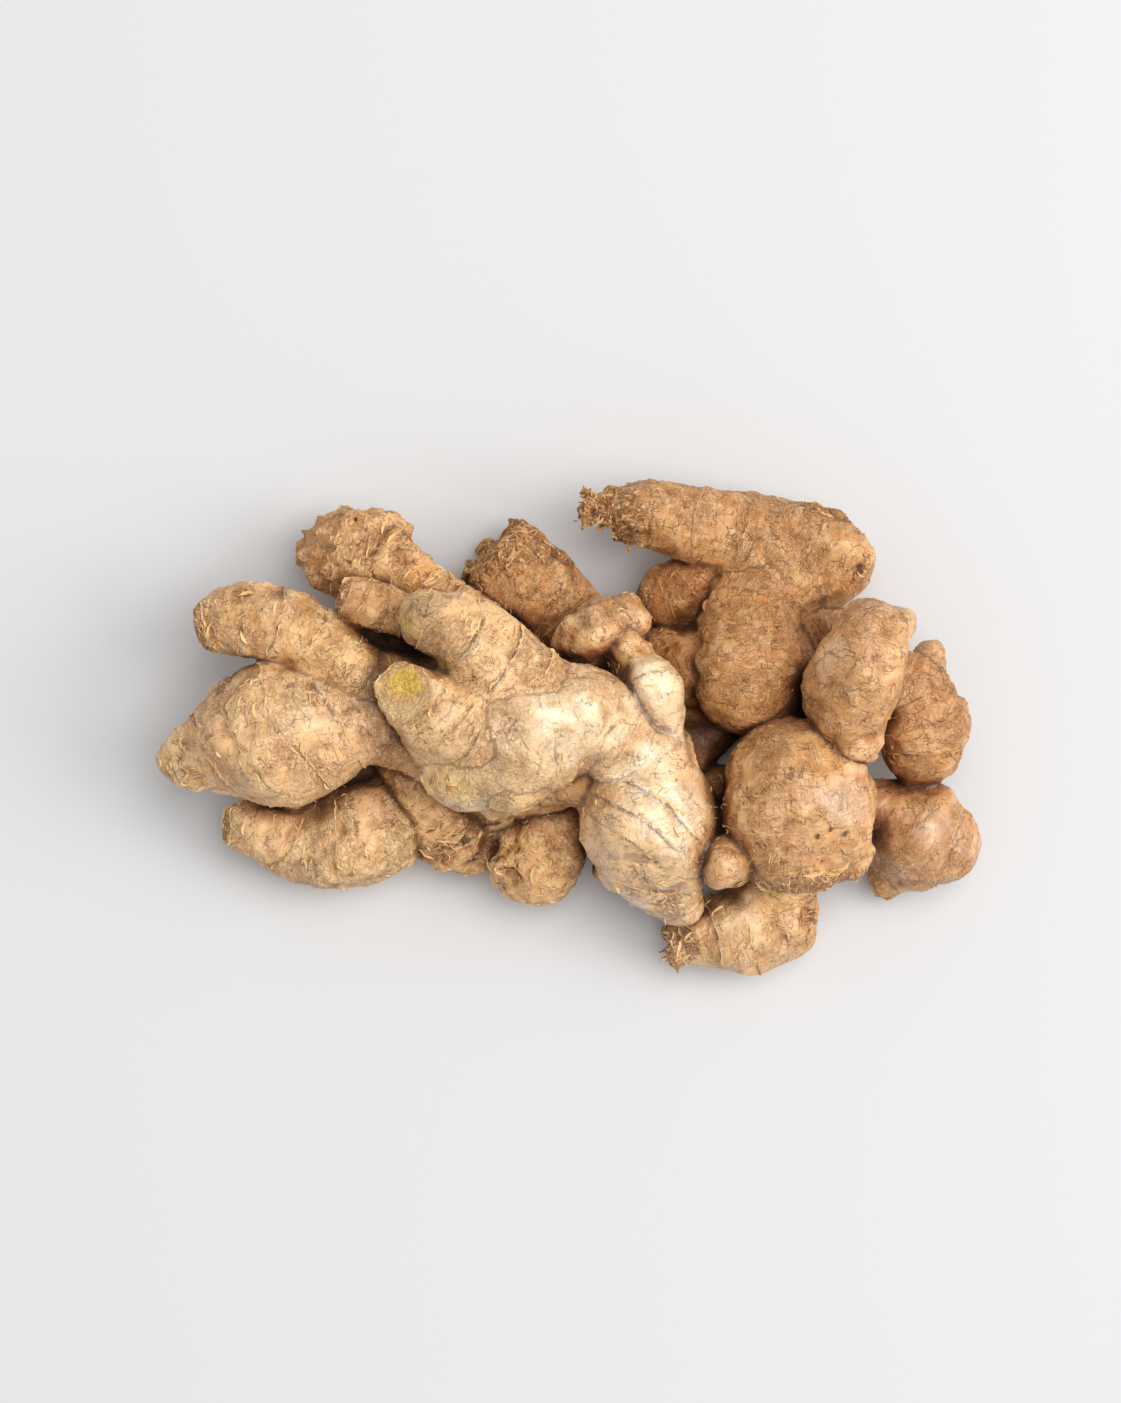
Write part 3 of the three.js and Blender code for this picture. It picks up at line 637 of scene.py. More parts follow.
# %% Places with a story of their own
# Each is where the camera sees it: x and y in millimetres at the height of the fingers' middles, a radius
# and a strength. A swell's last number is its height in millimetres.
TORN_PATCHES = [
    (-83, 7.5, 4.5, 0.45), (-91, -12, 4, 0.5), (-79, 32, 3, 0.6), (-87, 23, 3, 0.6), (-37, 34, 3.5, 0.4),
    (-12, 46, 9, 0.8), (-22, 40, 4, 0.7), (11, 50, 8, 0.7), (26, -52, 5, 0.9), (-41, -23, 4.5, 0.45),
    (-84, -23.5, 2.5, 0.5), (56, -38, 6, 0.55), (45, -38, 3, 0.6), (70, 38, 3.5, 0.6), (60, 53, 6, 0.6),
    (17, 31, 3, 0.8), (92, -13, 3, 0.4), (86, 0, 3, 0.3), (57, -46, 3.5, 0.6), (-4, -31, 3, 0.5),
    (16, -38, 5, 0.5), (24, -44, 4, 0.6), (-31, -31, 5, 0.5),
]
ORANGE_PATCHES = [(-36.2, 35.2, 3.0, 0.8), (-33.5, 37, 1.8, 0.6)]
YELLOW_PATCHES = [
    (-40, 24, 3.6, 0.6), (-36, 18, 3, 0.6), (-31, 15.5, 2.6, 0.5), (-57, 31.5, 2.4, 0.8),
    (-83, -23.5, 2.6, 0.5), (14, 33, 3, 0.4), (-27, -14, 6, 0.35), (-16, -20, 5, 0.3),
]
SMUDGES = [
    (9.8, -22.3, 1.9, 1.0), (10.4, -31.5, 1.6, 0.8), (-34, 29, 3.4, 0.7), (-20, 29, 3, 0.3),
    (-17, -19, 5, 0.5), (-22, -25, 4, 0.4), (-15.5, -11, 7, 0.3), (16, -9, 4, 0.25), (-66, 8, 4, 0.3),
    (24.5, -30, 5, 0.3),
]
PITS = [
    (59.3, -26.6, 0.9, 0.9), (62.4, -24.7, 0.9, 0.9), (65.8, -25.9, 0.85, 0.8), (60.2, -32.5, 0.8, 0.7),
    (65.5, -19, 0.8, 0.6), (-79, 21.4, 0.8, 0.8), (-60, 52, 0.6, 0.6), (69.6, 37.7, 1.6, 1.0),
    (-52, 49.5, 0.7, 0.9), (-49.5, 47, 0.6, 0.7), (57.5, 45, 0.6, 0.5), (81, -15, 0.7, 0.6),
    (85, -17, 0.5, 0.6), (78.5, -14.5, 0.5, 0.5),
]
# Glossy places: the skin there gets a glossier coat, and its colour gets a painted highlight in cream.
GLOSS_AND_HIGHLIGHT_PLACES = [
    (0, -1, 11, 1.0), (18, -12, 8, 1.0), (25, -20, 9, 1.0), (20, 10, 7, 1.0), (87, -25, 7, 0.9),
    (38, -44, 8, 0.7), (66, -18, 8, 0.8), (62, 16, 6, 0.8), (-66, 2, 7, 0.5), (-70, 30, 5, 0.5),
]
# Shaded hollows: places whose colour gets a painted shade, near black, where the hollows between fingers are
# deepest.
SHADED_HOLLOWS = [
    (-9, 22, 6, 1.0), (34, -1.7, 7, 1.0), (56.6, 26.5, 6, 1.0), (-26.7, 14.7, 5, 1.0), (-40, 20, 7, 1.0),
    (0, -15.5, 5, 1.0), (-53, -12, 6, 0.8), (-41.5, -26, 4, 0.8), (-36.7, -3, 5, 0.8), (73, -25, 4, 1.0),
    (49, -38.5, 5, 0.9), (18, -37, 5, 0.7), (9, 7, 5, 1.0), (17, 33, 4, 0.7), (70, 3, 5, 1.0),
    (-63, 24, 5, 0.6), (-5, -31, 3, 0.7), (-18, 46, 3.5, 0.6), (-93, -10, 3, 0.4), (36, 8, 4, 0.4),
    (28, 27, 3, 0.5),
]
SWELLS = [
    (3, 23.5, 5, 1.6), (-1.5, 21, 4.5, 1.4), (6.5, 20, 3.5, 1.0), (13, 17, 3, 0.7), (-85, 10, 4.0, 1.9),
    (-92, -13, 3.4, 1.3), (-84, -17, 4.0, 1.1), (-95, -3, 3.0, 1.0), (-87, 40, 3.4, 1.2),
    (-43, 49, 4.5, 1.9), (-38, 45, 4.0, 2.0), (70, -33, 5.5, 2.1), (69, -7, 5.0, 1.4), (-50, 50, 4, 0.8),
    (-43, -27, 3.5, 1.0), (-60, -36, 4, 0.8), (-18, -36, 4.5, 1.3), (-28, -33, 4, 1.2), (5, 3, 3.0, 0.9),
    (10, -5, 3.0, 0.7), (-79, -20, 3, 0.7), (8, -38, 3, 0.9), (-5, -44, 4, 0.7), (57, 54, 4, 0.7),
]
eye = Vector(camera.location) / MM


def seen_place(tree, x, y):
    """Where the camera sees the skin through a place at the fingers' middle height."""
    way = (Vector((x, y, FINGER_HEIGHT)) - eye).normalized()
    hit = tree.ray_cast(eye, way)[0]
    return np.array(hit) if hit else np.array([x, y, FINGER_HEIGHT])


def patch_mask(places, edge=0.35, size=2.2, soften=0, join=np.maximum):
    """1 inside the patches, with ragged borders, and 0 outside."""
    mask = np.zeros(len(points))
    ragged = edge * noise_at(points, size, 17.3) + 0.6 * edge * noise_at(points, size / 2.6, 4.9)
    for x, y, radius, strength in places:
        distance = np.linalg.norm(points - seen_place(body_tree, x, y), axis=1) / radius
        mask = join(mask, strength * fade(1.25 - distance + ragged, 0, 0.45))
    return neighbour_mean(skin, mask, soften)


def neighbour_mean(piece, values, rounds):
    """The values, evened out between vertices that share an edge."""
    ends = np.empty(len(piece.data.edges) * 2, np.int32)
    piece.data.edges.foreach_get("vertices", ends)
    a, b = ends.reshape(-1, 2).T
    count = np.bincount(a, minlength=len(values)) + np.bincount(b, minlength=len(values))
    for _ in range(rounds):
        total = np.bincount(a, values[b], len(values)) + np.bincount(b, values[a], len(values))
        values = 0.5 * values + 0.5 * total / np.maximum(count, 1)
    return values


def tree_of(piece):
    """A search tree of the piece's faces, in millimetres."""
    mesh = piece.data
    corners = points_of(piece).tolist()
    return BVHTree.FromPolygons(corners, [tuple(face.vertices) for face in mesh.polygons])


body_tree = tree_of(skin)
# A mask of painted shade for the shaded hollows.
dirt = patch_mask(SHADED_HOLLOWS, edge=0.6, size=2.6, soften=4)
# A mask of glossier skin that also carries a painted highlight.
glossy = patch_mask(GLOSS_AND_HIGHLIGHT_PLACES, edge=0.5, size=5, soften=12)
shine = np.maximum(shine, glossy)
swollen = patch_mask(SWELLS, edge=0.5, size=2.6, soften=2, join=np.add)
torn = patch_mask(TORN_PATCHES)
orange = patch_mask(ORANGE_PATCHES, edge=0.9, size=1.8, soften=3)
yellow = patch_mask(YELLOW_PATCHES, edge=0.9, size=3, soften=6)
smudge = patch_mask(SMUDGES, edge=0.3, size=3)
pit = patch_mask(PITS, edge=0.15)
scar_tip = np.array([finger.end == "scar" for finger in FINGERS])[owner] * fade(beyond, -0.1, 0.25)
torn = np.maximum(torn, 0.8 * scar_tip)
knife_depth = (points - KNIFE_AT) @ KNIFE_FACING
yolk_round = np.linalg.norm((points - KNIFE_AT - (0.6, 2.2, 0)) * (1, 1.35, 0.5), axis=1)
knife_round = np.linalg.norm(points - KNIFE_AT - knife_depth[:, None] * KNIFE_FACING, axis=1)
cut_owner = np.array([finger.name == "cut_finger" for finger in FINGERS])[owner]
flesh = cut_owner * fade(knife_depth, -1.3, -0.7) * fade(knife_round, 7.2, 6.2)
print("torn skin on", int((torn > 0.5).sum()), "vertices, cut flesh on", int((flesh > 0.5).sum()))

# %% Papery plates
PLATE_SIZE = 6.5
FACET_SIZE = 5.6
FACET_TILT = 0.13
PLATE_PLACES = [
    (-26, -24, 9, 1.0), (-17, -30, 8, 1.0), (-33, -12, 6, 0.7), (-47, 8, 7, 0.5), (-22, -12, 6, 0.5),
    (-45, 42, 8, 0.8), (16, -36, 7, 0.8), (22, -41, 5, 0.8), (-8, -33, 6, 0.5), (12, 33, 6, 0.6),
    (4, 20, 8, 0.5), (-31, 40, 7, 0.8), (50, -48, 5, 0.5), (26, 20, 6, 0.5), (-69, 26, 6, 0.4),
]


def warped(points, noise_size, far, shifts, size):
    """The points, pushed about by noise and measured in cells of a size."""
    push = np.stack([noise_at(points, noise_size, shift) for shift in shifts], axis=1) * far
    return ((points + push) / size).tolist()


def plates_at(points, size):
    """How high the plate is at each point, and how far the point lies from the plate's edge."""
    high, inner = np.empty(len(points)), np.empty(len(points))
    for i, place in enumerate(warped(points, 3.1, 1.3, (1.7, 5.3, 9.1), size)):
        distances, cells = noise.voronoi(place)
        high[i] = noise.cell(cells[0] * 7.3)
        inner[i] = distances[1] - distances[0]
    return high - 0.5, inner * size


def facets_at(points, size):
    """The height of each point on a crumpled sheet, whose facets lean this way and that."""
    heights = np.empty(len(points))
    for i, place in enumerate(warped(points, 2.6, 1.1, (2.7, 6.3, 8.1), size)):
        centre = noise.voronoi(place)[1][0]
        lean = noise.cell_vector(centre * 5.7)
        heights[i] = (Vector(place) - centre).dot(lean - Vector((0.5, 0.5, 0.5)))
    return heights * size * 2


plate_area = patch_mask(PLATE_PLACES, edge=0.6, size=5)
facets = facets_at(points, FACET_SIZE)
plate_high, plate_inner = plates_at(points, PLATE_SIZE)
print("plates cover", int((plate_area > 0.5).sum()), "vertices")

# %% Move the skin
LUMPS = ((13.0, 0.85, 0.0), (6.2, 0.55, 9.7), (3.1, 0.30, 4.1), (1.7, 0.12, 6.6))  # size, height, shift
FOLD_SIZE, FOLD_HEIGHT = 7.5, 0.40  # millimetres, here and below
PLEAT_SIZE, PLEAT_HEIGHT = 3.4, 0.34
RING_STEP, CLEFT, PIT_DEPTH, TORN_HEIGHT, WRINKLE_HEIGHT = 0.55, 0.75, 0.7, 0.50, 0.16
LOWEST = 0.02


def ridges_at(size, shift, sharp):
    """1 along winding lines and 0 away from them: the lines are where noise crosses zero."""
    return np.maximum(1 - np.abs(noise_at(points, size, shift)) * sharp, 0) ** 2


smooth_skin = 1 - 0.6 * shine
relief = sum(height * noise_at(points, size, shift) for size, height, shift in LUMPS)
relief += (1.1 - shine) * FOLD_HEIGHT * (ridges_at(FOLD_SIZE, 21.3, 3.2) - 0.3)
crumple = fade(noise_at(points, 12.0, 15.5), -0.35, 0.35) * (1.15 - shine)
relief += FACET_TILT * facets * crumple
pleated = fade(noise_at(points, 8.0, 2.9), -0.3, 0.3)
relief += (1.05 - shine) * PLEAT_HEIGHT * (ridges_at(PLEAT_SIZE, 11.9, 3.0) - 0.2) * pleated
along_lines = np.column_stack([read["across"] / 1.9, read["along"] / 7.0])
wrinkles = noise_at(along_lines, 1.0, 2.2)
relief += smooth_skin * (WRINKLE_HEIGHT * wrinkles + 0.05 * noise_at(points, 1.5, 6.6))
past = ring_distance > 0
flare = np.where(past, -np.exp(-ring_distance / 1.5), np.exp(ring_distance / 2.2))
relief += RING_STEP * 0.5 * ring_power * flare - 0.22 * ring_power * bell(ring_distance - 0.5, 0.6)
near_ring = ring_power * bell(ring_distance + 1.2, 1.6)
relief += 0.16 * near_ring * noise_at(np.column_stack([read["across"] / 1.1, read["along"] / 4]), 1.0)
relief -= np.where(same_clan, 0.0, CLEFT) * bell(crease, 1.1)
relief += plate_area * (0.9 * plate_high * fade(plate_inner, 0, 0.9) - 0.35 * bell(plate_inner, 0.6))
rough = noise_at(points, 1.7, 8.8) + 0.7 * noise_at(points, 0.95, 5.5)
relief += torn * (TORN_HEIGHT * rough - 0.1) - PIT_DEPTH * pit
relief += swollen
relief *= 1 - flesh
relief += flesh * (0.34 * noise_at(points, 2.4) + 0.2 * noise_at(points, 1.2) - 0.5 * bell(knife_round, 4))
points = points + normals_of(skin) * relief[:, None]
points[:, 2] = np.maximum(points[:, 2], LOWEST)
move_points(skin, points)
print("relief from", round(relief.min(), 2), "to", round(relief.max(), 2), "mm")

# %% [markdown]
# ## What the paint needs to know
# The paint is made of nodes, and nodes can't ask which finger a point is on. So the answers are stored on
# the mesh as attributes: the grain, which runs along each finger, the ring that is near, the creases, the
# torn and cut places, and how open each place is to the room. Painted shade, dark brown, is laid where it
# isn't.

# %% How open each place is
OPEN_RAYS = 14
OPEN_REACH = 22.0  # millimetres


def openness(tree, points, normals):
    """The share of the half sphere over each point that no other part of the root fills."""
    turns = np.arange(OPEN_RAYS) * GOLDEN_ANGLE
    rise = np.sqrt((np.arange(OPEN_RAYS) + 0.5) / OPEN_RAYS)
    fan = np.column_stack([rise * np.cos(turns), rise * np.sin(turns), np.sqrt(1 - rise**2)])
    open_share = np.empty(len(points))
    for i, (point, normal) in enumerate(zip(points.tolist(), normals.tolist())):
        normal = Vector(normal)
        turn = normal.to_track_quat("Z", "Y").to_matrix() @ Matrix.Rotation(i * 2.4, 3, "Z")
        start = Vector(point) + normal * 0.4
        blocked = 0.0
        for way in (np.array(turn) @ fan.T).T.tolist():
            hit = tree.ray_cast(start, way, OPEN_REACH)
            if hit[0] is not None:
                blocked += 1 - hit[3] / OPEN_REACH
        open_share[i] = 1 - blocked / OPEN_RAYS
    return open_share


def finder_of(points):
    """A search tree that finds the nearest of the points."""
    finder = KDTree(len(points))
    for i, place in enumerate(points.tolist()):
        finder.insert(place, i)
    finder.balance()
    return finder


skin_tree = tree_of(skin)
skin_normals = normals_of(skin)
sampled_open = openness(skin_tree, points[::3], skin_normals[::3])
finder = finder_of(points[::3])
nearest_sample = np.array([finder.find(place)[1] for place in points.tolist()])
open_share = neighbour_mean(skin, sampled_open[nearest_sample], 4)
print("openness from", round(open_share.min(), 2), "to", round(open_share.max(), 2))

# %% Raised and hollow
raised = neighbour_mean(skin, relief - neighbour_mean(skin, relief, 30), 1)
print("raised from", round(raised.min(), 2), "to", round(raised.max(), 2), "mm")

# %% Store the attributes
def store(piece, **attributes):
    """Writes values on the piece's vertices, for its material to read."""
    for name, values in attributes.items():
        kind, field = ("FLOAT", "value") if values.ndim == 1 else ("FLOAT_VECTOR", "vector")
        layer = piece.data.attributes.new(name, kind, "POINT")
        layer.data.foreach_set(field, values.astype(np.float32).ravel())


skin_values = dict(
    row=row, pitch=pitch, ring=ring_power, crease=np.clip(crease, 0, 8), open_share=open_share,
    raised=raised, torn=torn, orange=orange, yellow=yellow, smudge=smudge, pit=pit, flesh=flesh, tone=tone,
    shine=shine, glossy=glossy, dirt=dirt, plates=plate_area * bell(plate_inner, 0.5),
    cut_round=np.clip(yolk_round, 0, 12))
grain = np.column_stack([read["across"], read["along"]]) + 40 * draw_of(owner, 2)[:, None]
store(skin, grain=grain, **skin_values)
print("attributes:", ", ".join(skin_values))

# %% [markdown]
# ## Shader maths as Python
# A pattern is a sum and product of many small ones. Building it node by node is slow to read, so one small
# class wraps a socket and overloads Python's operators: writing a * b adds a Multiply node. Colours go
# through Mix nodes, because a Math node would turn them grey.

# %% Sheet and value
class Sheet:
    """A material, with short ways to add its nodes."""

    def __init__(self, name):
        self.material = bpy.data.materials.new(name)
        self.material.use_nodes = True
        self.tree = self.material.node_tree
        self.shader = self.tree.nodes["Principled BSDF"]

    def node(self, kind, settings=None, inputs=None):
        """Adds a node, with its settings and then what its sockets hold."""
        node = self.tree.nodes.new("ShaderNode" + kind)
        for setting, value in (settings or {}).items():
            setattr(node, setting, value)
        self.fill(node, inputs or {})
        return node

    def fill(self, node, inputs):
        """Links or sets the node's sockets. The shader's own constants are set this way too."""
        for socket, value in inputs.items():
            self.feed(node.inputs[socket], value)

    def feed(self, socket, value):
        if isinstance(value, Value):
            value = value.socket
        if isinstance(value, bpy.types.NodeSocket):
            self.tree.links.new(value, socket)
        else:
            socket.default_value = value

    def attribute(self, name):
        node = self.node("Attribute", {"attribute_name": name})
        return Value(self, node.outputs["Fac"]), node.outputs["Vector"]

    def noise(self, place, size, detail=2.0, roughness=0.5, warp=0.0):
        """Noise from about 0 to 1, with lumps of a size in the place's own units."""
        inputs = {"Vector": place, "Scale": 1 / size, "Detail": detail, "Roughness": roughness,
                  "Distortion": warp}
        return Value(self, self.node("TexNoise", None, inputs).outputs["Fac"])

    def stretch(self, place, factors):
        """The place, scaled along each axis."""
        return self.node("Mapping", None, {"Vector": place, "Scale": factors}).outputs["Vector"]

    def place(self):
        """Where a point lies on the object, in millimetres."""
        return self.stretch(self.node("TexCoord").outputs["Object"], (1 / MM, 1 / MM, 1 / MM))

    def mix(self, share, first, second):
        """A colour between two colours."""
        return self.node("Mix", {"data_type": "RGBA"}, {0: share, 6: first, 7: second}).outputs[2]

    def layers(self, colour, *coats):
        """The colour, with coats laid over it in turn, each a share and a colour."""
        for share, coat in coats:
            colour = self.mix(share, colour, coat)
        return colour


class Value:
    """A number on a socket. Python's operators on it add Math nodes."""

    def __init__(self, sheet, socket):
        self.sheet, self.socket = sheet, socket

    def maths(self, operation, *values):
        node = self.sheet.node("Math", {"operation": operation}, dict(enumerate(values)))
        return Value(self.sheet, node.outputs[0])

    def __add__(self, other):
        return self.maths("ADD", self, other)

    def __sub__(self, other):
        return self.maths("SUBTRACT", self, other)

    def __rsub__(self, other):
        return self.maths("SUBTRACT", other, self)

    def __mul__(self, other):
        return self.maths("MULTIPLY", self, other)

    __radd__, __rmul__ = __add__, __mul__

    def __neg__(self):
        return self.maths("MULTIPLY", self, -1.0)

    def __abs__(self):
        return self.maths("ABSOLUTE", self)

    def fract(self):
        return self.maths("FRACT", self)

    def most(self, other):
        return self.maths("MAXIMUM", self, other)

    def fade(self, low, high):
        """0 at low, 1 at high, and smooth between. low may be the larger."""
        node = self.sheet.node("MapRange", {"interpolation_type": "SMOOTHSTEP"},
                               {"Value": self, "From Min": low, "From Max": high})
        return Value(self.sheet, node.outputs[0])


def paint(red, green, blue):
    """A colour from its usual 0 to 255 values, as the light that a shader wants."""
    shares = (channel / 255 for channel in (red, green, blue))
    return tuple(s / 12.92 if s <= 0.04045 else ((s + 0.055) / 1.055) ** 2.4 for s in shares) + (1,)


print("shader helpers ready")

# %% [markdown]
# ## The skin's paint
# Dry ginger skin is two or three tans that drift into each other, with paler cream where it has lifted and
# pink-brown where it is thin. Over that lie fine fibres along the finger, the broken dark line of each ring
# with its frayed pale edge and a painted shadow under it, hair cracks, specks of soil, and grey-green
# stains.
# Creases and hollows get painted shade in dark brown, raised skin is painted paler and sunken skin browner,
# and glossy places get a painted highlight in cream.

# %% Colours
TAN, DEEP_TAN = paint(230, 180, 120), paint(208, 150, 90)
PINK_TAN, PALE = paint(230, 176, 130), paint(246, 210, 156)
CREAM, BROWN = paint(251, 230, 192), paint(146, 86, 38)
# Warm brown, dark brown, near black and crease brown serve as painted shade, as well as for cracks and
# marks.
WARM, DARK, SHADE_BLACK = paint(166, 100, 40), paint(78, 42, 20), paint(36, 20, 10)
GREY_GREEN, CRACK_AND_SHADE_BROWN = paint(150, 134, 96), paint(120, 60, 22)
FLESH_YELLOW, FLESH_PALE = paint(238, 196, 84), paint(230, 184, 124)
YELLOW_SKIN, ORANGE = paint(222, 192, 100), paint(234, 170, 88)
TORN_BROWN, TORN_DARK = paint(178, 122, 70), paint(112, 68, 34)

# %% Skin material
def skin_paint():
    """The material of the ginger's skin."""
    sheet = Sheet("ginger_skin")
    place = sheet.place()
    grain = sheet.attribute("grain")[1]
    at = SimpleNamespace(**{name: sheet.attribute(name)[0] for name in skin_values})

    broad = sheet.noise(place, 13.0, detail=2)
    patchy = sheet.noise(place, 5.0, detail=3, warp=0.6)
    mottle = sheet.noise(place, 1.3, detail=3, roughness=0.6)
    fine = sheet.noise(place, 0.45, detail=2, roughness=0.6)
    fibre = sheet.noise(sheet.stretch(grain, (1.5, 1.5, 0.22)), 1.0, detail=3, warp=0.4)
    hatch = sheet.noise(sheet.stretch(grain, (1.9, 1.9, 0.5)), 1.0, detail=2, warp=0.8)
    band = sheet.noise(sheet.stretch(grain, (0.16, 0.16, 0.9)), 1.0, detail=3, warp=0.8)

    distance = ((at.row + 0.5).fract() - 0.5) * at.pitch + (hatch - 0.5) * 1.1
    line = (abs(distance) - 0.10 - 0.10 * mottle).fade(0.20, 0.0) * at.ring.fade(0.05, 0.45)
    line = line * sheet.noise(place, 2.6, detail=1).fade(0.36, 0.52)
    frayed = (distance + 1.6).fade(0.0, 1.4) * distance.fade(0.35, 0.0) * at.ring
    frayed = frayed * hatch.fade(0.42, 0.66)
    # Painted shadow: a brown band where the skin steps down past each ring line.
    below = distance.fade(1.3, 0.2) * distance.fade(-0.1, 0.3) * at.ring

    push = sheet.node("TexNoise", None, {"Vector": grain, "Scale": 0.45, "Detail": 2.0}).outputs["Color"]
    long_cells = sheet.stretch(grain, (0.55, 0.55, 1.0))
    warped_grain = sheet.node("VectorMath", {"operation": "MULTIPLY_ADD"},
                              {0: push, 1: (3.2, 3.2, 3.2), 2: long_cells}).outputs[0]
    cells = sheet.node(
        "TexVoronoi", {"feature": "DISTANCE_TO_EDGE"}, {"Vector": warped_grain, "Scale": 0.21})
    crack = Value(sheet, cells.outputs["Distance"]).fade(0.035, 0.008)
    dry = 0.46 - 0.12 * at.tone.most(0.0)
    crack = crack * (patchy - dry).fade(0.0, 0.14) * mottle.fade(0.35, 0.5)
    around = sheet.stretch(grain, (0.14, 0.14, 0.36))
    hair = abs(sheet.noise(around, 1.0, detail=4, roughness=0.62, warp=0.9) - 0.5).fade(0.013, 0.003)
    hair = hair * sheet.noise(place, 3.4, detail=2).fade(0.48, 0.60)
    curls = sheet.noise(place, 4.2, detail=3, roughness=0.6, warp=0.5) - 0.47
    curled = sheet.noise(place, 2.7, detail=1)
    curl = abs(curls).fade(0.014, 0.004) * curled.fade(0.54, 0.62)
    hair = hair.most(curl) * (1 - 0.5 * at.glossy)
    ridge = sheet.noise(sheet.stretch(grain, (0.42, 0.42, 0.75)), 1.0, detail=4, roughness=0.6, warp=1.0)
    ridge = abs(ridge - 0.5).fade(0.05, 0.0) * (1 - 0.7 * at.shine) * broad.fade(0.40, 0.56)
    flap = curls.fade(-0.012, 0.012) * curled.fade(0.50, 0.58)
    dots = sheet.node("TexVoronoi", None, {"Vector": place, "Scale": 0.5})
    draw = Value(sheet, sheet.node("SeparateColor", None, {"Color": dots.outputs["Color"]}).outputs[0])
    speck = (Value(sheet, dots.outputs["Distance"]) * 2.0 - 0.34 * (draw - 0.70)).fade(0.09, 0.0)
    speck = speck * draw.fade(0.72, 0.80)
    torn = (at.torn + 0.5 * (mottle - 0.5)).fade(0.25, 0.7)
    # Painted shade: the next four masks darken the skin where little of the room is open to it, deep in
    # hollows, in clefts between clans and at the listed shaded hollows.
    closed = (at.open_share + 0.25 * (patchy - 0.5)).fade(0.76, 0.34)
    deep_shade = at.open_share.fade(0.54, 0.26)
    cleft = at.crease.fade(2.0, 0.2) * at.open_share.fade(0.92, 0.60)
    dirt = at.dirt * at.open_share.fade(0.84, 0.58) * (mottle + patchy).fade(0.5, 0.95)

    pinkish = sheet.noise(place, 8.0, detail=2, warp=0.5).fade(0.50, 0.64)
    # The warm patches are left off the glossy places, which carry a painted highlight.
    tanned = sheet.noise(place, 10.0, detail=3, warp=0.4).fade(0.50, 0.70) * (1 - at.glossy)
    browned = at.tone.most(0.0)
    # Painted highlight: cream on the glossy places of the paler fingers.
    painted_highlight = at.glossy * at.glossy * (1 - 1.9 * at.tone).most(0.0)
    plain = 1 - 0.55 * browned
    # Painted light and shade from the relief: raised skin is painted paler, sunken skin browner.
    raised = at.raised + 0.2 * (mottle - 0.5)
    # Painted shade: a broad warm brown where the skin is less open to the room.
    shaded = (at.open_share + 0.3 * (broad - 0.5)).fade(0.92, 0.55)
    colour = sheet.layers(
        sheet.mix(broad.fade(0.36, 0.64), TAN, DEEP_TAN),
        (0.75 * pinkish, PINK_TAN),
        (0.34 * tanned, WARM),
        (browned, WARM),
        # Painted highlight in cream.
        (0.42 * painted_highlight * patchy.fade(0.30, 0.50), CREAM),
        ((-at.tone).most(0.0), CREAM),
        (0.42 * plain * patchy.fade(0.46, 0.74), PALE),
        (0.35 * plain * band.fade(0.52, 0.70), PALE),
        (0.40 * plain * (1 - at.shine) * fibre.fade(0.54, 0.74), CREAM),
        (0.45 * plain * ridge, PALE),
        (0.20 * fibre.fade(0.46, 0.30), BROWN),
        # Painted light on raised skin and painted shade on sunken skin.
        (0.46 * plain * raised.fade(0.02, 0.40), PALE),
        (0.50 * raised.fade(-0.04, -0.44), BROWN),
        (0.24 * mottle.fade(0.52, 0.72), DEEP_TAN),
        (0.13 * fine.fade(0.5, 0.3), BROWN),
        (0.55 * at.smudge * mottle.fade(0.25, 0.6), GREY_GREEN),
        (0.75 * at.yellow, YELLOW_SKIN),
        (0.85 * frayed, CREAM),
        # Painted shadow under each ring's edge.
        (0.30 * below, BROWN),
        # Painted shade: warm brown where the skin is less open, brown where it is shut in, dark brown in
        # clefts and at the shaded hollows.
        (0.40 * shaded, WARM),
        (0.85 * closed, CRACK_AND_SHADE_BROWN),
        (0.70 * cleft, DARK),
        (0.85 * dirt, DARK),
        (0.7 * torn, sheet.mix(hatch.fade(0.40, 0.60), TORN_DARK, TORN_BROWN)),
        (0.7 * torn * fibre.fade(0.54, 0.64), PALE),
        (0.85 * at.orange * hatch.fade(0.35, 0.5), ORANGE),
        (0.60 * line, DARK),
        (0.70 * crack, CRACK_AND_SHADE_BROWN),
        (0.46 * hair, CRACK_AND_SHADE_BROWN),
        (0.80 * at.plates.fade(0.35, 0.85), DARK),
        (0.80 * speck, DARK),
        (0.85 * at.pit.fade(0.4, 0.9), DARK),
        # Painted shade, near black, deep in the hollows.
        (0.85 * deep_shade, SHADE_BLACK),
    )

    core = 5.0 * (sheet.noise(place, 2.6, detail=3, warp=0.5) - 0.5)
    core = (5.0 - at.cut_round + core).fade(0.0, 1.5)
    vessel = sheet.noise(place, 0.55, detail=1)
    cut = sheet.layers(
        sheet.mix(core, FLESH_PALE, FLESH_YELLOW),
        (0.5 * vessel.fade(0.55, 0.72), FLESH_PALE),
        (0.7 * vessel.fade(0.44, 0.34), DEEP_TAN),
        (0.6 * at.cut_round.fade(6.2, 8.5), PALE),
    )
    colour = sheet.mix(at.flesh, colour, cut)

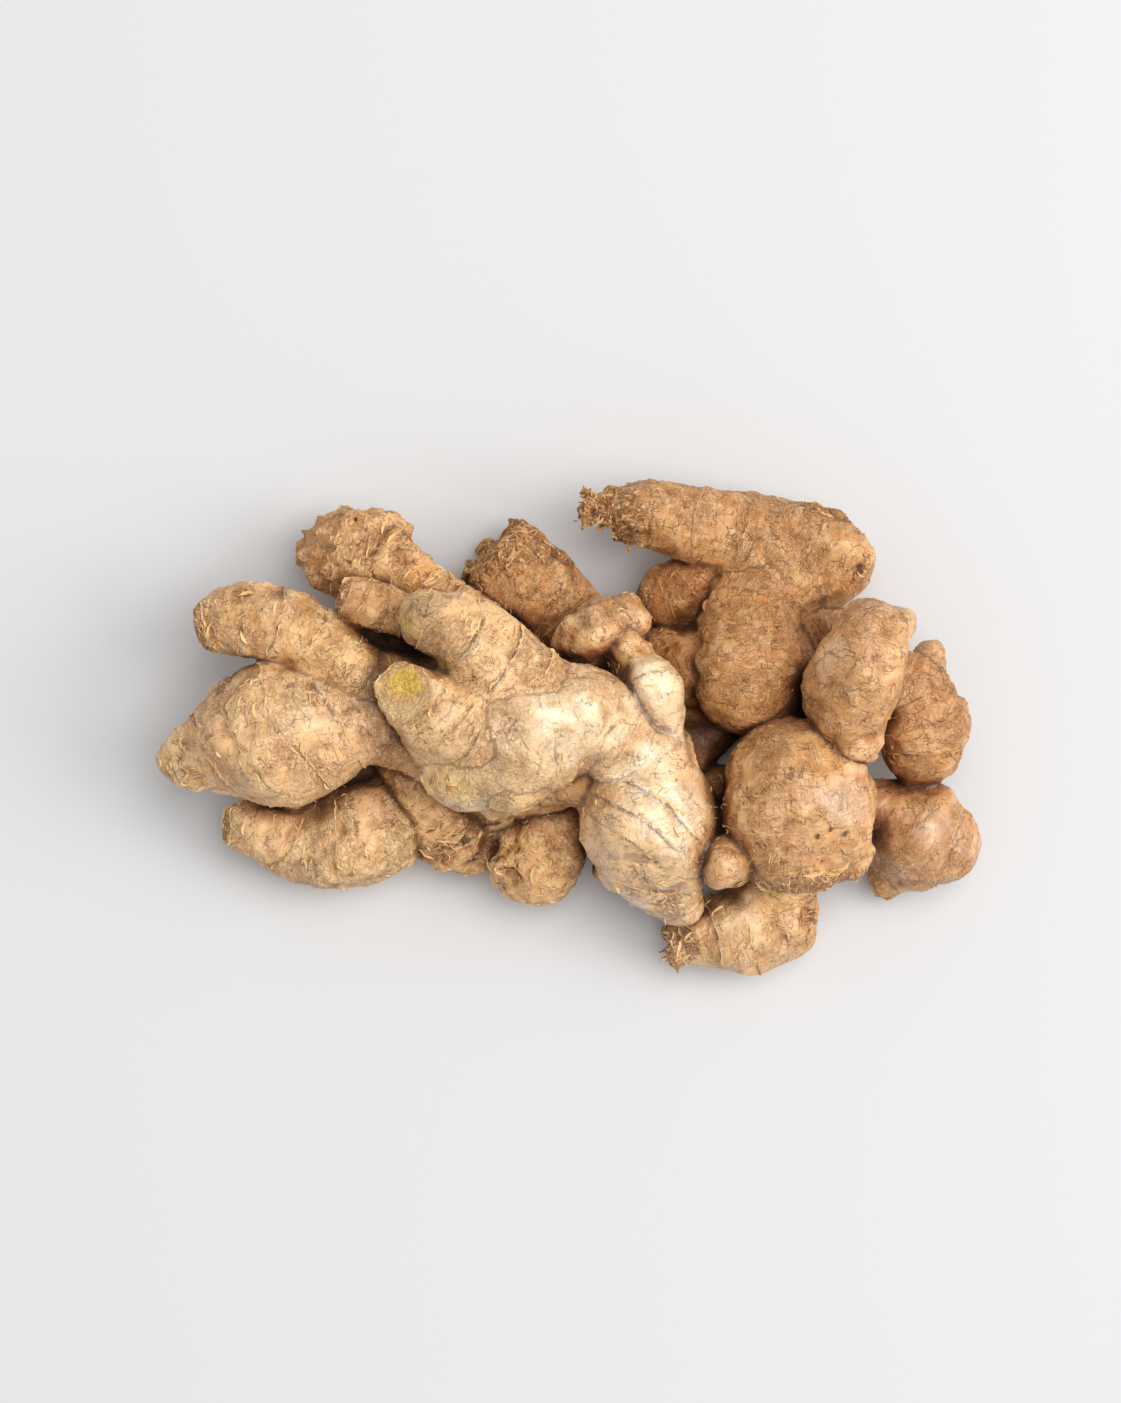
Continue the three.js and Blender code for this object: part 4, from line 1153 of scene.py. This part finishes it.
    height = 0.30 * sheet.noise(place, 2.3, detail=3, roughness=0.55) + 0.05 * fine
    height = height + 0.22 * (1 - 0.7 * at.shine) * fibre + 0.10 * hatch * at.ring
    height = height + 0.16 * flap - 0.14 * hair + 0.22 * ridge
    height = height - 0.22 * line - 0.10 * crack - 0.10 * speck - 0.25 * at.plates + 0.12 * frayed
    height = height + torn * 0.5 * hatch
    bump = sheet.node("Bump", None, {"Strength": 1.0, "Distance": 1.15 * MM, "Height": height})
    rough = 0.57 - 0.22 * at.shine + 0.16 * (mottle - 0.5) + 0.25 * torn + 0.10 * closed
    coat = at.shine.fade(0.2, 1.0) * patchy.fade(0.22, 0.46) * (1 - closed)

    sheet.fill(sheet.shader, {
        "Base Color": colour, "Roughness": rough, "Coat Weight": coat, "Normal": bump.outputs["Normal"],
        "Coat Roughness": 0.42, "Coat IOR": 1.9, "IOR": 1.45, "Subsurface Weight": 0.12,
        "Subsurface Radius": (1.0, 0.45, 0.2), "Subsurface Scale": 1.6 * MM,
    })
    return sheet.material


skin.data.materials.clear()
skin.data.materials.append(skin_paint())
pick(skin)
bpy.ops.object.shade_smooth()
print("the skin is painted with", len(skin.data.materials[0].node_tree.nodes), "nodes")

# %% [markdown]
# ## Dry scales
# What really tells ginger from a stone is its paper. Every ring keeps a ragged rim of dead leaf scale, and
# slivers of skin curl up all over. A bump can't lift off the skin and throw a shadow, so these are thin
# closed strips: one long edge sunk in the skin, the other lifted, both ends pinched to a point.

# %% Strips that stand off the skin
PAPER = 0.09  # millimetres thick at the free edge
SUNK = 0.22


class Strips:
    """Gathers many thin closed strips for one piece."""

    def __init__(self):
        self.points, self.faces, self.looks = [], [], []

    def add(self, roots, facings, outs, widths, lifts, draw, tone):
        """A strip, sunk along its roots and lifted at its free edge. Its two ends are points."""
        start = len(self.points)
        last = len(roots) - 1
        for i, (root, facing, out) in enumerate(zip(roots, facings, outs)):
            if i in (0, last):
                self.points.append(root)
                self.looks.append((0.4, draw, tone))
                continue
            free = root + out * widths[i] + facing * lifts[i]
            self.points += [root - facing * SUNK, root + facing * PAPER, free + facing * PAPER, free]
            self.looks += [(edge, draw, tone) for edge in (0.0, 0.15, 1.0, 1.0)]
        rows = [[start] * 4]
        rows += [[start + 1 + 4 * i + side for side in range(4)] for i in range(last - 1)]
        rows += [[start + 1 + 4 * (last - 1)] * 4]
        for near, far in zip(rows, rows[1:]):
            for side in range(4):
                after = (side + 1) % 4
                corners = [near[side], near[after], far[after], far[side]]
                self.faces.append(tuple(dict.fromkeys(corners)))

    def piece(self, name, material):
        """The gathered strips as one object."""
        piece = new_piece(name, self.points, self.faces)
        edge, draw, tone = np.array(self.looks).T
        store(piece, edge=edge, draw=draw, tone=tone)
        piece.data.materials.append(material)
        pick(piece)
        bpy.ops.object.mode_set(mode="EDIT")
        bpy.ops.mesh.select_all(action="SELECT")
        bpy.ops.mesh.normals_make_consistent(inside=False)
        bpy.ops.object.mode_set(mode="OBJECT")
        bpy.ops.object.shade_smooth_by_angle(angle=math.radians(50))
        return piece


def scale_paint(name):
    """Dry paper: tan where it grows from the skin, cream at its free edge."""
    sheet = Sheet(name)
    place = sheet.place()
    edge, draw, tone = (sheet.attribute(name)[0] for name in ("edge", "draw", "tone"))
    mottle = sheet.noise(place, 1.1, detail=3)
    fine = sheet.noise(place, 0.35, detail=1)
    share = (edge * 0.8 + 0.7 * (mottle - 0.5) + 0.5 * (draw - 0.5)).fade(0.1, 1.0)
    colour = sheet.layers(
        sheet.mix(share, TAN, PALE),
        (0.9 * tone.most(0.0), WARM),
        (0.5 * draw.fade(0.72, 0.80), BROWN),
        (0.3 * mottle.fade(0.6, 0.75), BROWN),
    )
    bump = sheet.node("Bump", None, {"Strength": 0.6, "Distance": 0.1 * MM, "Height": mottle + 0.5 * fine})
    sheet.fill(sheet.shader, {
        "Base Color": colour, "Roughness": 0.55 + 0.2 * mottle, "Normal": bump.outputs["Normal"],
        "Subsurface Weight": 0.15, "Subsurface Radius": (1.0, 0.5, 0.25), "Subsurface Scale": 0.6 * MM,
    })
    return sheet.material


points = points_of(skin)
skin_finder = finder_of(points)
print("ready to place strips")

# %% Ragged rims along the rings
RIM_STEP = 0.9  # millimetres between a rim's stations
RIM_NEAR = 2.4  # furthest that a station may be from the skin before it counts as buried
RIM_LOWEST = 2.0  # a rim lower than this would reach into the table
RUN_STATIONS, GAP_STATIONS, GAP_SHARE = (5, 26), (3, 12), 0.34
RIM_WIDTH, RIM_SPREAD, RIM_SUNK = 0.25, 0.60, 0.3  # millimetres


def ring_stations(number, finger, ring):
    """Where a ring lies on the skin: a place, a normal, the way to the tip, whether a rim may grow there,
    and the nearest vertex, in order.
    """
    at_row = ring * finger.length / finger.rings
    wide = finger.at(at_row, finger.radius)
    stations = []
    for angle in np.arange(0, 2 * math.pi, RIM_STEP / wide):
        along = at_row + finger.lean * finger.widest * math.cos(angle - finger.seed) * min(
            1, min(at_row, finger.length - at_row) / finger.widest)
        middle, forward = finger.at(along, finger.centre), finger.at(along, finger.tangent)
        side, over = finger.at(along, finger.side), finger.at(along, finger.over)
        out = math.cos(angle) * side + math.sin(angle) * over
        place = middle + out * finger.at(along, finger.radius) * finger.lumps(along, angle)
        shift = RING_WOBBLE * (noise.noise(place / 6.0 + 31.7) + 0.5 * noise.noise(place / 2.3 + 7.1))
        place = place - forward * shift
        found, facing, _, far = skin_tree.find_nearest(place)
        vertex = skin_finder.find(found)[1]
        clear = far < RIM_NEAR and found[2] > RIM_LOWEST
        open_here = clear and owner[vertex] == number and crease[vertex] > 1.0
        stations.append((np.array(found), np.array(facing), forward, open_here, vertex))
    return stations


def ring_rims(strips, draw):
    """Follows every ring, and breaks its rim into runs and gaps."""
    for number, finger in enumerate(FINGERS):
        for ring in range(1, finger.rings + 1):
            stations = ring_stations(number, finger, ring)
            if len(stations) < 6:
                continue
            run, left = [], 0
            for station in stations + [None]:
                if left <= 0 and len(run) == 0:
                    left = draw.integers(*RUN_STATIONS)
                    if draw.random() < GAP_SHARE:
                        left = -draw.integers(*GAP_STATIONS)
                if station is None or not station[3] or left == 0:
                    add_rim(strips, run, draw)
                    run, left = [], 0
                    continue
                if left < 0:
                    left += 1
                    continue
                run.append(station)
                left -= 1


def add_rim(strips, run, draw):
    """One stretch of ragged rim."""
    if len(run) < 4:
        return
    roots = [place for place, *_ in run]
    facings = [facing for _, facing, *_ in run]
    outs = [unit(forward - facing * (forward @ facing)) for _, facing, forward, *_ in run]
    power = ring_power[[vertex for *_, vertex in run]]
    ragged = 0.35 + 1.5 * draw.random(len(run)) ** 2.5
    widths = ragged * (RIM_WIDTH + RIM_SPREAD * power) * draw.uniform(0.5, 1.2)
    lifts = widths * draw.uniform(0.05, 0.5, len(run)) + 0.02
    roots = [root - out * RIM_SUNK for root, out in zip(roots, outs)]
    strips.add(roots, facings, outs, widths, lifts, draw.random(), tone[run[0][-1]])


rims = Strips()
ring_rims(rims, np.random.default_rng(11))
scale_edges = rims.piece("scale_edges", scale_paint("scale_rim"))
print("scale edges:", len(scale_edges.data.polygons), "faces")

# %% Slivers of skin
FLAKES = 3600
SHORT, MIDDLE, LONG = (0.5, 0.9), (0.9, 1.7), (1.6, 2.6)  # sizes in millimetres
SHORT_SHARE, LONG_SHARE, ACROSS_SHARE = 0.7, 0.07, 0.22
SLIVER_LENGTH = 2.5  # times its size
SLIVER_STATIONS = np.array([-0.5, -0.24, 0.02, 0.28, 0.5])
SLIVER_WIDTHS = np.array([0, 0.8, 1.0, 0.7, 0])


def scatter_flakes(strips, draw):
    """Curled slivers, thickest near the rings, the scars and the torn places."""
    area = neighbour_mean(skin, bell(ring_distance - 0.2, 1.5) * ring_power, 1)
    weight = 0.10 + 1.1 * area + 1.3 * torn + 0.5 * plate_area
    weight *= (1 - 0.75 * shine) * (1 - flesh) * fade(crease, 0.3, 1.5) * (0.5 + open_share)
    weight *= 0.25 + 1.5 * fade(noise_at(points, 7.0, 12.3), -0.1, 0.5)
    weight *= fade(points[:, 2], 2.0, 6.0) * (1 - 0.85 * np.clip(dirt, 0, 1))
    chosen = draw.choice(len(points), FLAKES, replace=False, p=weight / weight.sum())
    for vertex in chosen:
        finger = FINGERS[owner[vertex]]
        place, facing = points[vertex], skin_normals[vertex]
        forward = finger.at(np.clip(read["along"][vertex], 0, finger.length), finger.tangent)
        out = unit(forward - facing * (forward @ facing) + 1e-6)
        around = np.cross(facing, out)
        wild = 0.35 + 1.6 * torn[vertex]
        turn = draw.normal(0, wild)
        if draw.random() < ACROSS_SHARE:
            turn += math.pi / 2
        way = around * math.cos(turn) + out * math.sin(turn)
        out = out * math.cos(turn) - around * math.sin(turn)
        size = draw.uniform(*SHORT) if draw.random() < SHORT_SHARE else draw.uniform(*MIDDLE)
        if max(plate_area[vertex], torn[vertex]) > 0.35 and draw.random() < LONG_SHARE:
            size = draw.uniform(*LONG)
        bend = draw.normal(0, 0.35)
        roots, facings, outs = [], [], []
        for step in SLIVER_STATIONS * size * SLIVER_LENGTH:
            near = place + way * step + out * bend * (step / size) ** 2
            found, normal, *_ = skin_tree.find_nearest(near)
            roots.append(np.array(found))
            facings.append(np.array(normal))
            outs.append(unit(out - np.array(normal) * (out @ np.array(normal)) + 1e-6))
        wide = size * draw.uniform(0.14, 0.42)
        widths = wide * SLIVER_WIDTHS * draw.uniform(0.8, 1.2, 5)
        lifts = widths * draw.uniform(0.15, 0.95) + 0.03
        strips.add(roots, facings, outs, widths, lifts, draw.random(), tone[vertex])


slivers = Strips()
scatter_flakes(slivers, np.random.default_rng(21))
skin_flakes = slivers.piece("skin_flakes", scale_paint("skin_sliver"))
print("slivers:", len(skin_flakes.data.polygons), "faces")

# %% [markdown]
# ## Hairs
# Thin dry roots hang on between the bulbs and at the torn ends. Each is a thin tapered tube of three sides
# that starts in the skin, leaves it at a slant and bends on its way.

# %% Root hairs and fibres
HAIR_PLACES = [
    (47, -32, 18, 7, 5.0, 0.16), (56, -39, 16, 6, 4.5, 0.2), (66, -5, 4, 2.0, 5.5, 0.2),
    (9, 51, 34, 4, 4.0, 0.32), (-83, 8, 12, 4, 2.6, 0.18), (-76, 32, 9, 2.0, 2.4, 0.2),
    (-18, 45, 14, 6, 2.6, 0.25), (27, -52, 16, 3, 2.8, 0.25), (-34, 34, 12, 3, 3.2, 0.3),
    (60, 55, 10, 4, 2.4, 0.2), (-48, 48, 14, 8, 1.8, 0.22), (-20, -28, 12, 8, 2.4, 0.15),
    (10, 30, 8, 5, 2.4, 0.15), (24, -44, 10, 5, 2.4, 0.18), (57, -46, 12, 3, 3.0, 0.22),
]


HAIR_STATIONS = 5


def add_hair(points, faces, start, way, length, thick, draw):
    """A thin tapered tube of three sides, bent at random."""
    first, steps = len(points), HAIR_STATIONS
    place, heading = start - way * 0.3, way
    for step in range(steps):
        side = unit(np.cross(heading, [0.3, 0.5, 0.81]))
        over = np.cross(heading, side)
        wide = thick * (1 - 0.8 * step / (steps - 1))
        for turn in (0, 2.09, 4.19):
            points.append(place + wide * (side * math.cos(turn) + over * math.sin(turn)))
        heading = unit(heading + draw.normal(0, 0.33, 3))
        place = place + heading * length / (steps - 1)
    for step in range(steps - 1):
        a = first + 3 * step
        for i in range(3):
            j = (i + 1) % 3
            faces.append((a + i, a + j, a + 3 + j, a + 3 + i))
    faces.append((first + 2, first + 1, first))
    faces.append((first + 3 * steps - 3, first + 3 * steps - 2, first + 3 * steps - 1))


def grow_hairs(draw):
    hair_points, faces = [], []
    for x, y, count, spread, length, thick in HAIR_PLACES:
        for _ in range(count):
            shift = draw.normal(0, spread / 2, 2)
            place = seen_place(skin_tree, x + shift[0], y + shift[1])
            found, facing, *_ = skin_tree.find_nearest(place)
            way = unit(np.array(facing) * 0.5 + draw.normal(0, 0.5, 3))
            long = length * draw.uniform(0.4, 1.2)
            add_hair(hair_points, faces, np.array(found), way, long, thick * draw.uniform(0.6, 1.1), draw)
    return hair_points, faces


hairs = new_piece("root_hairs", *grow_hairs(np.random.default_rng(31)))
sheet = Sheet("root_hair")
hair_tint = sheet.mix(sheet.noise(sheet.place(), 2.5).fade(0.4, 0.6), TORN_BROWN, PALE)
sheet.fill(sheet.shader, {"Base Color": hair_tint, "Roughness": 0.6})
hairs.data.materials.append(sheet.material)
print("hairs:", len(hairs.data.polygons), "faces")

# %% [markdown]
# ## Joining the frame
# The skin stands for the imported rhizome, and all pieces ride on the one body. The last lines print how
# many triangles each piece has.

# %% Hand the pieces over
for piece in (skin, scale_edges, skin_flakes, hairs):
    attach(piece, "root")
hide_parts("rhizome")
bpy.ops.object.select_all(action="DESELECT")
for piece in (skin, scale_edges, skin_flakes, hairs):
    triangles = sum(len(face.vertices) - 2 for face in piece.data.polygons)
    print(piece.name, triangles, "triangles")
